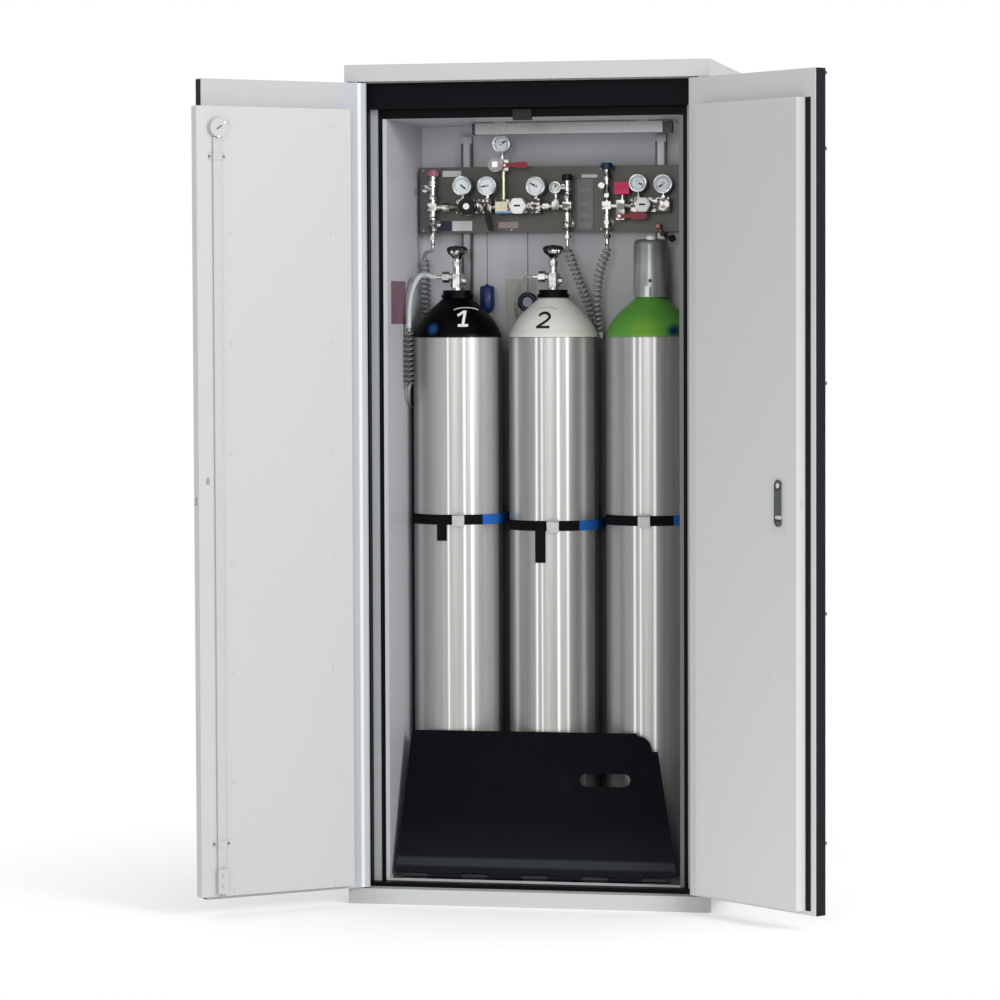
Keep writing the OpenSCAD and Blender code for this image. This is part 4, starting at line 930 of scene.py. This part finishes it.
class CABINET_OT_leaves(bpy.types.Operator):
    """Paints both door leaves and adds their small parts"""

    bl_idname = "cabinet.leaves"
    bl_label = "Door Leaves"

    # Places on the closed leaves in millimetres: x and z of screws, and how far their seats stand off.
    UPPER_CASE_SCREWS = ((-46, 1900), (-30, 1866))
    LOWER_CASE_SCREWS = ((-28, 78), (-28, 104))
    ROD_COVER_SCREWS = ((-48, 1819), (-11, 1819), (-48, 179), (-11, 179))
    UPPER_CASE_SLOT = (-32, 1888)
    CASE_SEAT = 13
    ROD_COVER_SEAT = 2
    # lock body in its pale cover plate: a slot with round ends
    LOCK_X = 92
    LOCK_ENDS = (958, 1042)
    LOCK_RADIUS = 13
    LOCK_SEAT = 3.5
    LOCK_HEIGHT = 0.8
    LOCK_SCREW_Z = 1041
    LOCK_NOTCH_Z = 967

    def execute(self, context):
        colors = context.scene.cabinet_colors
        shell, right_inner = tuple(colors.shell), tuple(colors.right_inner)
        dress(material("leaf_skin", powder_coat, shell, 0.46), "rod_cover")
        # the two numbers after each leaf's colour set its painted light and shade, from foot to head
        dress(material("left_paint", leaf_paint, shell, 0.95, 0.93, 1, shell), "left_skin")
        dress(material("right_paint", leaf_paint, right_inner, 1.20, 1.04, -1, shell), "right_skin")
        dress(material("leaf_inner", leaf_paint, tuple(colors.left_inner), 0.985, 1.01), "left_inner_panel")
        dress(material("right_inner", leaf_paint, right_inner, 1.24, 1.00), "right_inner_panel")
        dress(fire_board(), "left_core", "right_core")
        dress(zinc_plate(), "left_pivots", "right_pivots", "top_bolt", "bottom_bolt")
        dress(material("bolt_pale", metal, (0.66, 0.66, 0.65), 0.40, metallic=0.3), "latch_bolt")
        dress(material("seal_black", plastic, (0.004, 0.004, 0.005), 0.6, 0.2, 0.12), "left_edge_seal")
        dress(material("gasket_black", plastic, (0.009, 0.010, 0.014), 0.6, 0.2, 0.12), "right_gaskets")
        dress(material("lock_pale", powder_coat, (0.53, 0.545, 0.545), 0.45), "lock_plates")
        dress(material("button_grey", plastic, (0.30, 0.30, 0.30), 0.4), "release_button")
        dress(black_plastic(), "door_handle")
        self.left_parts()
        self.right_parts()
        return {"FINISHED"}

    def left_parts(self):
        """Screws of both latch cases and the rod cover, and the upper case's screwdriver slot."""
        zinc = zinc_plate()
        dull = material("slot_grey", plastic, (0.12, 0.12, 0.125), 0.4)
        step = STEP_DEPTH * MM
        s = Solid()
        for places, seat, radius, height, paint in (
                (self.UPPER_CASE_SCREWS, self.CASE_SEAT, 3.2, 1.0, zinc),
                (self.LOWER_CASE_SCREWS, self.CASE_SEAT, 3.0, 1.0, zinc),
                (self.ROD_COVER_SCREWS, self.ROD_COVER_SEAT, 3.0, 1.2, dull)):
            for x, z in places:
                s.disc((x, step + seat, z), TOWARDS_BACK, radius, height, paint, 20, 0.4)
        x, z = self.UPPER_CASE_SLOT
        slanted = Matrix.Rotation(math.radians(35), 4, "Y")
        slot = Matrix.Translation((x, step + self.CASE_SEAT, z)) @ slanted
        s.box((-8, 8), (0, 0.4), (-2, 2), dull, slot)
        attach(s.build("left_leaf_screws", stands_open(1)), "left_leaf")

    def right_parts(self):
        """Lock body with round ends, a pale screw at its upper end and a pale notch at its lower end."""
        body = material("lock_body", plastic, (0.075, 0.084, 0.084), 0.45)
        pale = material("lock_screw", plastic, (0.55, 0.56, 0.56), 0.4)
        seat = STEP_DEPTH * MM + self.LOCK_SEAT
        top = seat + self.LOCK_HEIGHT
        left, right = self.LOCK_X - self.LOCK_RADIUS, self.LOCK_X + self.LOCK_RADIUS
        notch_end = (self.LOCK_X + 4, top, self.LOCK_NOTCH_Z)
        s = Solid()
        s.box((left, right), (seat, top), self.LOCK_ENDS, body)
        for z in self.LOCK_ENDS:
            s.disc((self.LOCK_X, seat, z), TOWARDS_BACK, self.LOCK_RADIUS, self.LOCK_HEIGHT, body)
        s.disc((self.LOCK_X, top, self.LOCK_SCREW_Z), TOWARDS_BACK, 6, 0.5, pale, 32, 0.2)
        s.box((left, notch_end[0]), (top, top + 0.3), (self.LOCK_NOTCH_Z - 4, self.LOCK_NOTCH_Z + 4), pale)
        s.disc(notch_end, TOWARDS_BACK, 4, 0.3, pale, 24)
        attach(s.build("lock_cover_screws", stands_open(-1)), "right_leaf")


class CABINET_OT_cylinders(bpy.types.Operator):
    """Paints the gas cylinders, valves, straps and the ramp"""

    bl_idname = "cabinet.cylinders"
    bl_label = "Gas Cylinders"

    # painted highlights: angle of each glint from the front, half its width, strength; below 0 a painted dark
    # reflection
    GLINTS = (
        ((-46, 6, 0.25), (-18, 10, 0.12), (-0.6, 1.2, 0.75), (20.4, 1.4, 0.85), (30.8, 1.6, 1.0),
         (58, 14, 0.22), (84, 6, -0.8)),
        ((-45, 4, 0.45), (-12, 1.5, 0.95), (-4.8, 1.1, 0.75), (16.4, 1.7, 0.9), (28.5, 1.5, 0.8),
         (53, 3, 0.30), (83, 6, -0.8)),
        ((-48, 8, 0.22), (-28.6, 4, -0.25), (-12, 1.3, 1.0), (-4.1, 1.2, 0.8), (14.3, 1.5, 0.95),
         (50, 12, 0.12), (84, 6, -0.7)),
    )
    # colour and gloss of each painted shoulder, and its marks as (x, z, radius, colour)
    SHOULDERS = ((0.0010, 0.0010, 0.0014), (0.64, 0.63, 0.59), (0.095, 0.31, 0.045))
    GLOSS = (0.06, 0.25, 0.25)
    SPOTS = (
        ((-0.286, 1.408, 0.013, (0.015, 0.06, 0.20)),),
        (),
        ((0.320, 1.401, 0.017, (0.006, 0.022, 0.085)), (0.250, 1.400, 0.034, (0.15, 0.35, 0.03))),
    )
    SEEDS = (1.3, 4.1, 6.9)
    # straight strokes of both figures as (x, z) in millimetres, and where the second figure's bow sits
    ONE = (((-210, 1453), (-210, 1415)), ((-226, 1441), (-211, 1452)), ((-222, 1416.5), (-198, 1416.5)))
    TWO_BOW = (-5, 1435)
    TWO_SLANT = [(2, 1427), (-20, 1412)]
    TWO_FOOT = ((-23, 1411.5), (11, 1411.5))
    STROKE = 6.5
    # thin arched lines over the figures
    ARCHES = (("cylinder_left", (-211, 1452)), ("cylinder_middle", (-3, 1452)))
    ARCH_STROKE = 1.6

    def execute(self, context):
        for i, node in enumerate(CYLINDERS):
            dress(material(f"cylinder_{i + 1}", cylinder_steel, middle(node, X), self.SHOULDERS[i],
                           self.GLOSS[i], self.GLINTS[i], self.SPOTS[i], self.SEEDS[i]), node)
        dress(material("neck_metal", neck_metal), "neck_fittings")
        dress(nickel_plate(), "cylinder_valves")
        dress(material("wheel_metal", wheel_metal), "handwheel_left", "handwheel_middle")
        dress(material("webbing", webbing), "cylinder_straps")
        dress(material("buckle_grey", metal, (0.42, 0.43, 0.42), 0.35, spread=0.35, metallic=0.4),
              "strap_buckles")
        dress(material("ramp_black", ramp_paint), "ramp")
        dress(material("hinge_black", powder_coat, (0.010, 0.011, 0.014), 0.4), "ramp_hinge")
        self.numbers()
        return {"FINISHED"}

    def numbers(self):
        """Plain painted figures on the shoulders, laid on the CAD surface, with an arched line over each."""
        white = material("number_white", plastic, (0.80, 0.80, 0.79), 0.5)
        black = material("number_black", plastic, (0.004, 0.004, 0.004), 0.5)
        grey = material("number_grey", plastic, (0.36, 0.36, 0.35), 0.5)
        s = Solid()
        for line in self.ONE:
            self.painted(s, "cylinder_left", line, self.STROKE, white)
        bow = self.arc(self.TWO_BOW, -14, 12, range(20, 200, 20))
        for line in (bow + self.TWO_SLANT, self.TWO_FOOT):
            self.painted(s, "cylinder_middle", line, self.STROKE, black)
        for (node, centre), paint in zip(self.ARCHES, (white, grey)):
            self.painted(s, node, self.arc(centre, 29, 9, range(160, 19, -20)), self.ARCH_STROKE, paint)
        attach(s.build("shoulder_numbers"), "cabinet")

    def arc(self, centre, width, height, degrees):
        """Points of an ellipse about (x, z), in millimetres."""
        angles = [math.radians(t) for t in degrees]
        return [(centre[0] + width * math.cos(a), centre[1] + height * math.sin(a)) for a in angles]

    def painted(self, solid, node, line, width, paint):
        """A stroke of paint along a line of (x, z), in millimetres, on the front of a node."""
        step = 2.5
        over_paint, under_paint = 0.0004, 0.0006
        surface = BVHTree.FromObject(NODES[node], bpy.context.evaluated_depsgraph_get())
        line = [Vector((x, 0, z)) for x, z in line]
        samples = []
        for a, b in zip(line, line[1:]):
            steps = max(1, round((b - a).length / step))
            samples += [a.lerp(b, k / steps) for k in range(steps)]
        samples.append(line[-1])
        rings = []
        for i, p in enumerate(samples):
            along = (samples[min(i + 1, len(samples) - 1)] - samples[max(i - 1, 0)]).normalized()
            across = Vector((along.z, 0, -along.x)) * width / 2
            over, under = [], []
            for share in (-1, -0.33, 0.33, 1):
                at = p + across * share
                start = Vector((at.x / MM, -0.25, at.z / MM))
                hit, normal, _, _ = surface.ray_cast(start, TOWARDS_BACK)
                over.append(millimetres(hit + normal * over_paint))
                under.append(millimetres(hit - normal * under_paint))
            rings.append(over + under[::-1])
        solid.loft(rings, paint)


class CABINET_OT_panel(bpy.types.Operator):
    """Finishes the gas panel: dials, glasses, labels, drain tap and screws"""

    bl_idname = "cabinet.panel"
    bl_label = "Gas Panel"

    # x and height over the panel's lower edge of each gauge, its radius and its pointer's angle
    DIALS = ((-236, 118, 24, 130), (-172, 117, 24, -100), (-134, 222, 22, 60), (-47, 115, 24, -60),
             (3, 111, 15, 20), (213, 120, 22, 110), (276, 117, 23, -130))
    SWEEP = 270
    # parts in another colour, as (colour, limits of x, y and z in metres): brass riser, red valve block and
    # dull disc of the upper valve, then the disc's white middle, and the cream and the blue half of a block
    PIPE_TINTS = (
        ((0.42, 0.40, 0.30), ((-0.140, -0.122), (0.055, 0.085), (1.733, 1.804))),
        ((0.30, 0.03, 0.07), ((0.150, 0.192), (0.060, 0.090), (1.741, 1.775))),
        ((0.26, 0.235, 0.23), ((-0.166, -0.126), (0.030, 0.0505), (1.799, 1.839))),
    )
    BLOCK_TINTS = (
        ((0.80, 0.80, 0.80), ((-0.154, -0.140), (0.030, 0.0505), (1.813, 1.827))),
        ((0.50, 0.49, 0.36), ((-0.152, -0.119), (-0.100, 0.120), (1.703, 1.727))),
        ((0.16, 0.26, 0.40), ((-0.152, -0.100), (-0.100, 0.120), (1.684, 1.703))),
    )
    # labels and plates in millimetres, as limits of x and z
    NAVY_LABEL = ((-308, -276), (1656, 1681))
    PALE_LABELS = (((-273, -222), (1656, 1681)), ((-298, -250), (1793, 1808)), ((60, 100), (1787, 1795)))
    BROWN_LABEL = ((-154, -103), (1662, 1678))
    CARRIER = ((48, 90), (1657, 1784))
    STRIP_X = (55, 83)
    STRIPS_Z = (1664, 1688, 1716, 1752)
    BRACKET = ((-190, -180), (1742, 1790))
    WALL_SHEET = ((-148, -67), (1400, 1534))
    BLACK_KNOB_X = -217
    WHITE_KNOBS_X = (-87, 230)
    TAP = (259, 1663)
    CAP_BUTTON = (253, 322)
    SCREWS_X = (-348, -120, 110, 348)
    SCREWS_Z = (1658, 1809)

    def execute(self, context):
        white = material("white_plastic", plastic, (0.80, 0.80, 0.80), 0.3)
        red = material("red_plastic", plastic, (0.24, 0.012, 0.025), 0.35)
        dress(material("panel_steel", panel_steel), "gas_panel")
        dress(material("gauge_case", fittings, (0.80, 0.81, 0.83), 0.30), "gauges")
        dress(material("regulator_metal", fittings, (0.60, 0.57, 0.53), 0.07, (0.50, 0.64), 95.0,
                       tints=self.BLOCK_TINTS), "regulators")
        dress(material("column_metal", fittings, (0.72, 0.71, 0.69), 0.14, (0.40, 0.52), 60.0,
                       (0.6, 0.6, 1.6)), "valve_columns")
        dress(material("pipe_metal", fittings, (0.74, 0.72, 0.67), 0.18,
                       tints=self.PIPE_TINTS + self.BLOCK_TINTS), "panel_pipework")
        dress(black_plastic(), "regulator_knob_1", "valve_knob_2", "lever_left")
        dress(white, "regulator_knob_2", "regulator_knob_3")
        dress(red, "lever_upper", "lever_right")
        dress(material("pink_plastic", plastic, (0.34, 0.13, 0.17), 0.4), "valve_knob_1")
        dress(material("blue_plastic", plastic, (0.015, 0.032, 0.10), 0.4), "valve_knob_3")
        self.dials(context.scene.cabinet_sizes.ticks)
        labels = Solid()
        self.labels(labels)
        self.knob_faces(labels, white)
        self.drain_tap(labels)
        # white button on the valve cap
        x, depth = self.CAP_BUTTON
        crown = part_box("neck_fittings")[HIGH][Z] * MM
        labels.lathe((x, depth, crown - 2), UPWARDS, [(0, 13), (6, 13), (10, 10), (12, 4)], white, 28)
        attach(labels.build("panel_labels"), "cabinet")
        self.screws()
        return {"FINISHED"}

    def dials(self, ticks):
        """White faces with their marks, pointers and glasses, laid in the cases from the back forwards."""
        white = material("dial_white", plastic, (0.93, 0.95, 0.97), 0.5)
        ink = material("dial_ink", plastic, (0.004, 0.004, 0.005), 0.6)
        clear = material("gauge_glass", glass)
        front = GAUGE_FRONT * MM
        faces, pointers, glasses = Solid(), Solid(), Solid()
        marks = []
        for x, up, radius, turn in self.DIALS:
            z = PANEL_LOW * MM + up
            faces.disc((x, front + 2.9, z), TOWARDS_FRONT, radius - 2.5, 0.5, white, 40)
            glasses.disc((x, front + 0.9, z), TOWARDS_FRONT, radius - 2.5, 0.6, clear, 40)
            turned = Matrix.Translation((x, front + 2.35, z)) @ Matrix.Rotation(math.radians(turn), 4, "Y")
            pointers.box((-2.0, 2.0), (-0.5, 0), (-radius * 0.20, radius * 0.55), ink, turned)
            pointers.disc((x, front + 2.3, z), TOWARDS_FRONT, radius * 0.14, 0.6, ink, 20, 0.2)
            for i in range(ticks):
                a = math.radians(self.SWEEP * (i / (ticks - 1) - 0.5))
                at = (x + math.sin(a) * radius * 0.74, front + 2.4, z + math.cos(a) * radius * 0.74)
                marks.append((metres(at), TOWARDS_FRONT, math.pi / 2 - a))
        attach(faces.build("gauge_dials"), "cabinet")
        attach(glasses.build("gauge_glasses"), "cabinet")
        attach(pointers.build("gauge_pointers"), "cabinet")
        scatter("gauge_ticks", marks, tick_mark(), ink)

    def labels(self, s):
        """Bare labels and plates on the panel, and a pale sheet on the back wall behind the cylinders."""
        navy = material("label_navy", plastic, (0.010, 0.016, 0.040), 0.4)
        pale = material("label_pale", plastic, (0.60, 0.61, 0.62), 0.4)
        brown = material("label_brown", plastic, (0.30, 0.245, 0.235), 0.4)
        plate = material("plate_grey", powder_coat, (0.17, 0.172, 0.172), 0.4)
        strip = material("plate_strip", powder_coat, (0.21, 0.212, 0.212), 0.4)
        blue = material("bracket_blue", plastic, (0.03, 0.13, 0.42), 0.4)
        sheet = material("wall_sheet", powder_coat, (0.40, 0.415, 0.38), 0.45)
        front = PANEL_DEPTH * MM
        carrier = front - 3
        wall = (far_side("mounting_rails", Y) + HALF_DEPTH) * MM
        for (x, z), paint in ((self.NAVY_LABEL, navy), (self.BROWN_LABEL, brown),
                              *((label, pale) for label in self.PALE_LABELS)):
            s.box(x, (front - 0.6, front), z, paint)
        x, z = self.CARRIER
        s.box(x, (carrier, front), z, plate)
        for low in self.STRIPS_Z:
            s.box(self.STRIP_X, (carrier - 0.5, carrier), (low, low + 9), strip)
        x, z = self.BRACKET
        s.box(x, (front - 30, front), z, blue)
        x, z = self.WALL_SHEET
        s.box(x, (wall - 1.5, wall), z, sheet)

    def knob_faces(self, s, white):
        """White centre of the black knob and a short dark mark on each white one."""
        front = KNOB_FRONT * MM
        line_z = (PANEL_LOW + LINE_UP) * MM
        s.disc((self.BLACK_KNOB_X, front, line_z), TOWARDS_FRONT, 8.0, 0.8, white, 32, 0.3)
        for x in self.WHITE_KNOBS_X:
            s.box((x - 8, x + 8), (front - 0.4, front), (line_z - 2, line_z + 2.5), black_plastic())

    def drain_tap(self, s):
        """Copper tap at the panel's lower right edge, its spout bent down, with a black knob on its stem."""
        copper = material("tap_copper", metal, (0.24, 0.105, 0.09), 0.38, metallic=0.5)
        black = black_plastic()
        x, z = self.TAP
        front = PANEL_DEPTH * MM
        s.lathe((x, front, z), TOWARDS_FRONT, [(-1, 6), (18, 6), (22, 8), (34, 8), (36, 6)], copper, 24)
        spout = ((0, -26, 0), (6, -27, -11), (13, -28, -23))
        stem = ((11, -28, -20), (23, -30, -26), (33, -32, -30))
        start = Vector((x, front, z))
        s.tube([start + Vector(p) for p in spout], 5.5, copper, 16)
        s.tube([start + Vector(p) for p in stem], 3, black, 12)
        s.disc(start + Vector((35, -30, -31)), (0.3, -1, 0), 9, 14, black, 28, 2)

    def screws(self):
        """Slotted screws along both edges of the panel, each turned a little further than the last."""
        places = [(x, PANEL_DEPTH * MM, z) for x in self.SCREWS_X for z in self.SCREWS_Z]
        scatter("panel_screws", [(metres(place), TOWARDS_FRONT, 0.4 * i) for i, place in enumerate(places)],
                slotted_screw(), zinc_plate())


class CABINET_OT_hoses(bpy.types.Operator):
    """Winds the coiled hoses in place of their plain bodies, and hangs the loose caps"""

    bl_idname = "cabinet.hoses"
    bl_label = "Coiled Hoses"

    # Routes in millimetres as [x, depth, height over the panel's lower edge], the same as the frame's.
    SLEEVE = (6.5, [(-296.6, 345, -112), (-302, 345, -112), (-308, 344.4, -111.6), (-320, 333, -107),
                    (-331, 304, -109), (-341, 282, -131), (-346, 266, -158), (-348, 256, -188),
                    (-348, 251, -215), (-348, 250, -239.2)])
    TUBES = (
        (2.8, [(-348, 250, -388.8), (-348.5, 251, -400), (-352, 268, -418), (-357.5, 300, -430),
               (-358.7, 330, -437), (-358.7, 360, -434), (-356, 386, -412), (-350, 409, -350),
               (-345, 425, -280), (-343, 430, -240), (-343, 430, -220.8)]),
        (4.5, [(-341.4, 405.7, -61.2), (-340, 402, -54), (-334, 397, -48), (-323, 388, -46),
               (-315.5, 385, -42), (-315, 385, -37), (-315, 385, -35.6)]),
        (4.5, [(95.3, 438.2, -239.2), (97, 440, -248), (92, 448, -263), (62, 461, -278), (2, 467, -286),
               (-60, 458, -276), (-94, 434, -248), (-104, 408, -210), (-100, 384, -170), (-86, 362, -136),
               (-68, 348, -115), (-56, 345, -112), (-50.6, 345, -112)]),
    )
    # the first coil hangs in the shade beside the left cylinder
    COILS = (
        [(-348, 250, -240), (-348, 250, -290), (-348, 250, -340), (-348, 250, -388)],
        [(-343, 430, -220), (-343, 430, -170), (-342.5, 424, -120), (-342, 414, -85), (-341.5, 406, -62)],
        [(31, 385, -36), (31, 385, -46), (39, 393, -68), (49, 402, -100), (60, 412, -132), (72, 423, -165),
         (84, 432, -201), (92, 437, -226), (95, 438, -238)],
        [(132, 385, -36), (132, 385, -46), (124, 386, -68), (113, 388, -100), (106, 394, -140),
         (104, 402, -190), (106, 409, -225), (107, 412, -250)],
    )
    FERRULE = [(-0.5, 4.6), (0, 5.4), (9, 5.4), (10, 4.4)]
    # x of each hanging cap, and how far its thread hangs before it runs on in the cap, in millimetres
    CAP_X = -183
    CAP_DROP = 134
    RING_X = -78
    RING_DROP = 152

    def execute(self, context):
        steel = material("coil_steel", metal, (0.34, 0.34, 0.35), 0.40, spread=0.25, metallic=0.3)
        # painted shade: a darker copy of the coil steel for the first coil, which hangs in the shade
        shaded = material("coil_shaded", metal, (0.13, 0.13, 0.135), 0.40, spread=0.25, metallic=0.3)
        sleeve = material("hose_sleeve", plastic, (0.50, 0.52, 0.54), 0.35)
        meshes = []
        plain = Solid()
        for i, points in enumerate(self.COILS):
            route = self.route(points, 8)
            meshes.append(wound(f"coil_{i}", route, context.scene.cabinet_sizes, steel if i else shaded))
            for end, next_one in ((route[0], route[1]), (route[-1], route[-2])):
                plain.lathe(end, next_one - end, self.FERRULE, steel, 16)
        radius, points = self.SLEEVE
        plain.tube(self.route(points, 6), radius, sleeve, 12)
        for radius, points in self.TUBES:
            plain.tube(self.route(points, 6), radius, steel, 12)
        parts = plain.build("hose_parts")
        meshes.append(parts.data)
        bpy.data.objects.remove(parts)
        hoses = joined("coiled_hoses", meshes)
        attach(hoses, "cabinet")
        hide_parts("pigtails")
        self.dust_cap()
        self.ring_cap()
        return {"FINISHED"}

    def route(self, points, steps):
        """Smooth path of a hose in millimetres."""
        return smooth_path([Vector((x, depth, PANEL_LOW * MM + up)) for x, depth, up in points], steps)

    def dust_cap(self):
        """Blue dust cap hanging from the panel's lower edge."""
        blue = material("cap_blue", plastic, (0.008, 0.022, 0.095), 0.3)
        top = self.thread_top(self.CAP_X)
        s = Solid()
        s.lathe(top + DOWNWARDS * self.CAP_DROP, DOWNWARDS,
                [(-3, 3), (0, 5), (2, 15), (5, 18.5), (52, 19), (62, 16), (69, 9), (71, 2)], blue)
        cap = s.build("dust_cap")
        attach(cap, "cabinet")
        self.hang("cap_thread", top, self.CAP_DROP + 15, 24, cap)

    def ring_cap(self):
        """Dark ring cap hanging beside the dust cap."""
        navy = material("ring_navy", plastic, (0.006, 0.010, 0.035), 0.35)
        inside = material("ring_inside", plastic, (0.30, 0.33, 0.38), 0.4)
        top = self.thread_top(self.RING_X)
        back = top + Vector((0, 5, -self.RING_DROP - 25))
        s = Solid()
        s.lathe(back, TOWARDS_FRONT, [(0, 22), (1.5, 25), (14, 25), (16, 22), (16, 14), (12, 13), (11, 1)],
                navy, 36)
        s.disc(back + TOWARDS_FRONT * 11, TOWARDS_FRONT, 13, 1.2, inside, 32, 0.2)
        ring = s.build("ring_cap")
        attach(ring, "cabinet")
        self.hang("ring_thread", top, self.RING_DROP + 6, 20, ring)

    def thread_top(self, x):
        """Upper end of a thread, just over the panel's lower edge."""
        return Vector((x, PANEL_DEPTH * MM - 3, PANEL_LOW * MM + 2))

    def hang(self, name, top, length, steps, cap):
        """Thin thread that hangs from its upper end and runs on into the cap to its knot."""
        line = [top + DOWNWARDS * (length * k / steps) for k in range(steps + 1)]
        s = Solid()
        s.tube(line, 1.0, material("thread_blue", plastic, (0.04, 0.05, 0.07), 0.5))
        thread = s.build(name)
        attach(thread, "cabinet")


class CABINET_OT_stage(bpy.types.Operator):
    """Sets the camera, the floor and the studio light"""

    bl_idname = "cabinet.stage"
    bl_label = "Studio Stage"

    # the camera that fits the photograph: place in metres, and yaw, pitch and roll in degrees
    CAMERA_PLACE = (1.77752, -9.36194, 1.40791)
    CAMERA_TURN = (-11.51, -2.57, -0.22)
    # place, aim and size of each lamp in metres
    KEY = ((6.0, -5.2, 3.4), (0.0, -0.3, 1.1), 2.6)
    FILL = ((0.5, -11.5, 2.6), (0.0, 0.0, 1.1), 2.0)
    FLOOR_REACH = 30.0
    # the floor turns into plain white between these distances from the middle of the cabinet
    FLOOR_FADE = (0.9, 1.7)

    def execute(self, context):
        settings = context.scene.cabinet_stage
        self.camera(context.scene, settings.lens)
        self.floor()
        self.lamp("key", *self.KEY, settings.key)
        self.lamp("fill", *self.FILL, settings.fill)
        self.world(context.scene, settings.sky)
        context.scene.view_settings.view_transform = "Standard"
        return {"FINISHED"}

    def camera(self, scene, lens):
        data = bpy.data.cameras.new("camera")
        data.lens = lens
        data.sensor_width = 36.0
        data.clip_end = 100.0
        yaw, pitch, roll = (math.radians(turn) for turn in self.CAMERA_TURN)
        forward = Vector((math.sin(yaw) * math.cos(pitch), math.cos(yaw) * math.cos(pitch), math.sin(pitch)))
        right = Vector((math.cos(yaw), -math.sin(yaw), 0))
        up = right.cross(forward)
        across = right * math.cos(roll) + up * math.sin(roll)
        above = up * math.cos(roll) - right * math.sin(roll)
        turn = Matrix((across, above, -forward)).transposed().to_4x4()
        camera = linked("camera", data)
        camera.matrix_world = Matrix.Translation(self.CAMERA_PLACE) @ turn
        scene.camera = camera

    def floor(self):
        """Pale floor that turns into the white ground away from the object."""
        mesh = bpy.data.meshes.new("floor")
        e = self.FLOOR_REACH
        mesh.from_pydata([(-e, -e, 0), (e, -e, 0), (e, e, 0), (-e, e, 0)], [], [(0, 1, 2, 3)])
        s = Shader("floor_white")
        s.specular(0.0)
        s.roughness(0.9)
        far = s.node("ShaderNodeVectorMath", operation="LENGTH")
        s.link(s.coords, far.inputs[0])
        away = s.ramp(far.outputs["Value"], *self.FLOOR_FADE)
        s.color(s.mix(away, (0.90, 0.90, 0.90), (0.0, 0.0, 0.0)))
        s.put((1.0, 1.0, 1.0), s.bsdf.inputs["Emission Color"])
        s.put(s.line(away, 0.80, 0.20), s.bsdf.inputs["Emission Strength"])
        mesh.materials.append(s.material)
        linked("floor", mesh)

    def lamp(self, name, place, aim, size, power):
        """Round area lamp aimed at a point."""
        data = bpy.data.lights.new(name, "AREA")
        data.shape = "DISK"
        data.size = size
        data.energy = power
        lamp = linked(name, data)
        lamp.location = place
        lamp.rotation_euler = (Vector(aim) - Vector(place)).to_track_quat("-Z", "Y").to_euler()

    def world(self, scene, sky):
        """Even light from all round, which the camera, reflections and glass see as plain white."""
        world = bpy.data.worlds.new("studio")
        scene.world = world
        world.use_nodes = True
        nodes, links = world.node_tree.nodes, world.node_tree.links
        nodes.clear()
        rays = nodes.new("ShaderNodeLightPath").outputs
        seen = rays["Is Camera Ray"]
        for kind in ("Is Glossy Ray", "Is Transmission Ray"):
            either = nodes.new("ShaderNodeMath")
            either.operation = "MAXIMUM"
            links.new(seen, either.inputs[0])
            links.new(rays[kind], either.inputs[1])
            seen = either.outputs[0]
        mix = nodes.new("ShaderNodeMixShader")
        links.new(seen, mix.inputs[0])
        for socket, color, strength in ((1, (1.0, 0.99, 0.965, 1), sky), (2, (1, 1, 1, 1), 1.0)):
            light = nodes.new("ShaderNodeBackground")
            light.inputs["Color"].default_value = color
            light.inputs["Strength"].default_value = strength
            links.new(light.outputs[0], mix.inputs[socket])
        links.new(mix.outputs[0], nodes.new("ShaderNodeOutputWorld").inputs["Surface"])


class CABINET_PT_sidebar(bpy.types.Panel):
    """Buttons and sizes of the cabinet"""

    bl_label = "Gas Cylinder Cabinet"
    bl_idname = "CABINET_PT_sidebar"
    bl_space_type = "VIEW_3D"
    bl_region_type = "UI"
    bl_category = "Cabinet"

    def draw(self, context):
        layout = self.layout
        for operator in OPERATORS:
            layout.operator(operator.bl_idname)
        for group in (context.scene.cabinet_colors, context.scene.cabinet_sizes, context.scene.cabinet_stage):
            for name in group.__annotations__:
                layout.prop(group, name)


GROUPS = {"cabinet_colors": CabinetColors, "cabinet_sizes": CabinetSizes, "cabinet_stage": StageSettings}
OPERATORS = (CABINET_OT_shell, CABINET_OT_leaves, CABINET_OT_cylinders, CABINET_OT_panel, CABINET_OT_hoses,
             CABINET_OT_stage)


def register():
    for cls in (*GROUPS.values(), *OPERATORS, CABINET_PT_sidebar):
        bpy.utils.register_class(cls)
    for name, cls in GROUPS.items():
        setattr(bpy.types.Scene, name, PointerProperty(type=cls))


def unregister():
    for name in GROUPS:
        delattr(bpy.types.Scene, name)
    for cls in reversed((*GROUPS.values(), *OPERATORS, CABINET_PT_sidebar)):
        bpy.utils.unregister_class(cls)


def main():
    register()
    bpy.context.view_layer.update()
    for operator in OPERATORS:
        family, name = operator.bl_idname.split(".")
        getattr(getattr(bpy.ops, family), name)()


if __name__ == "__main__":
    main()
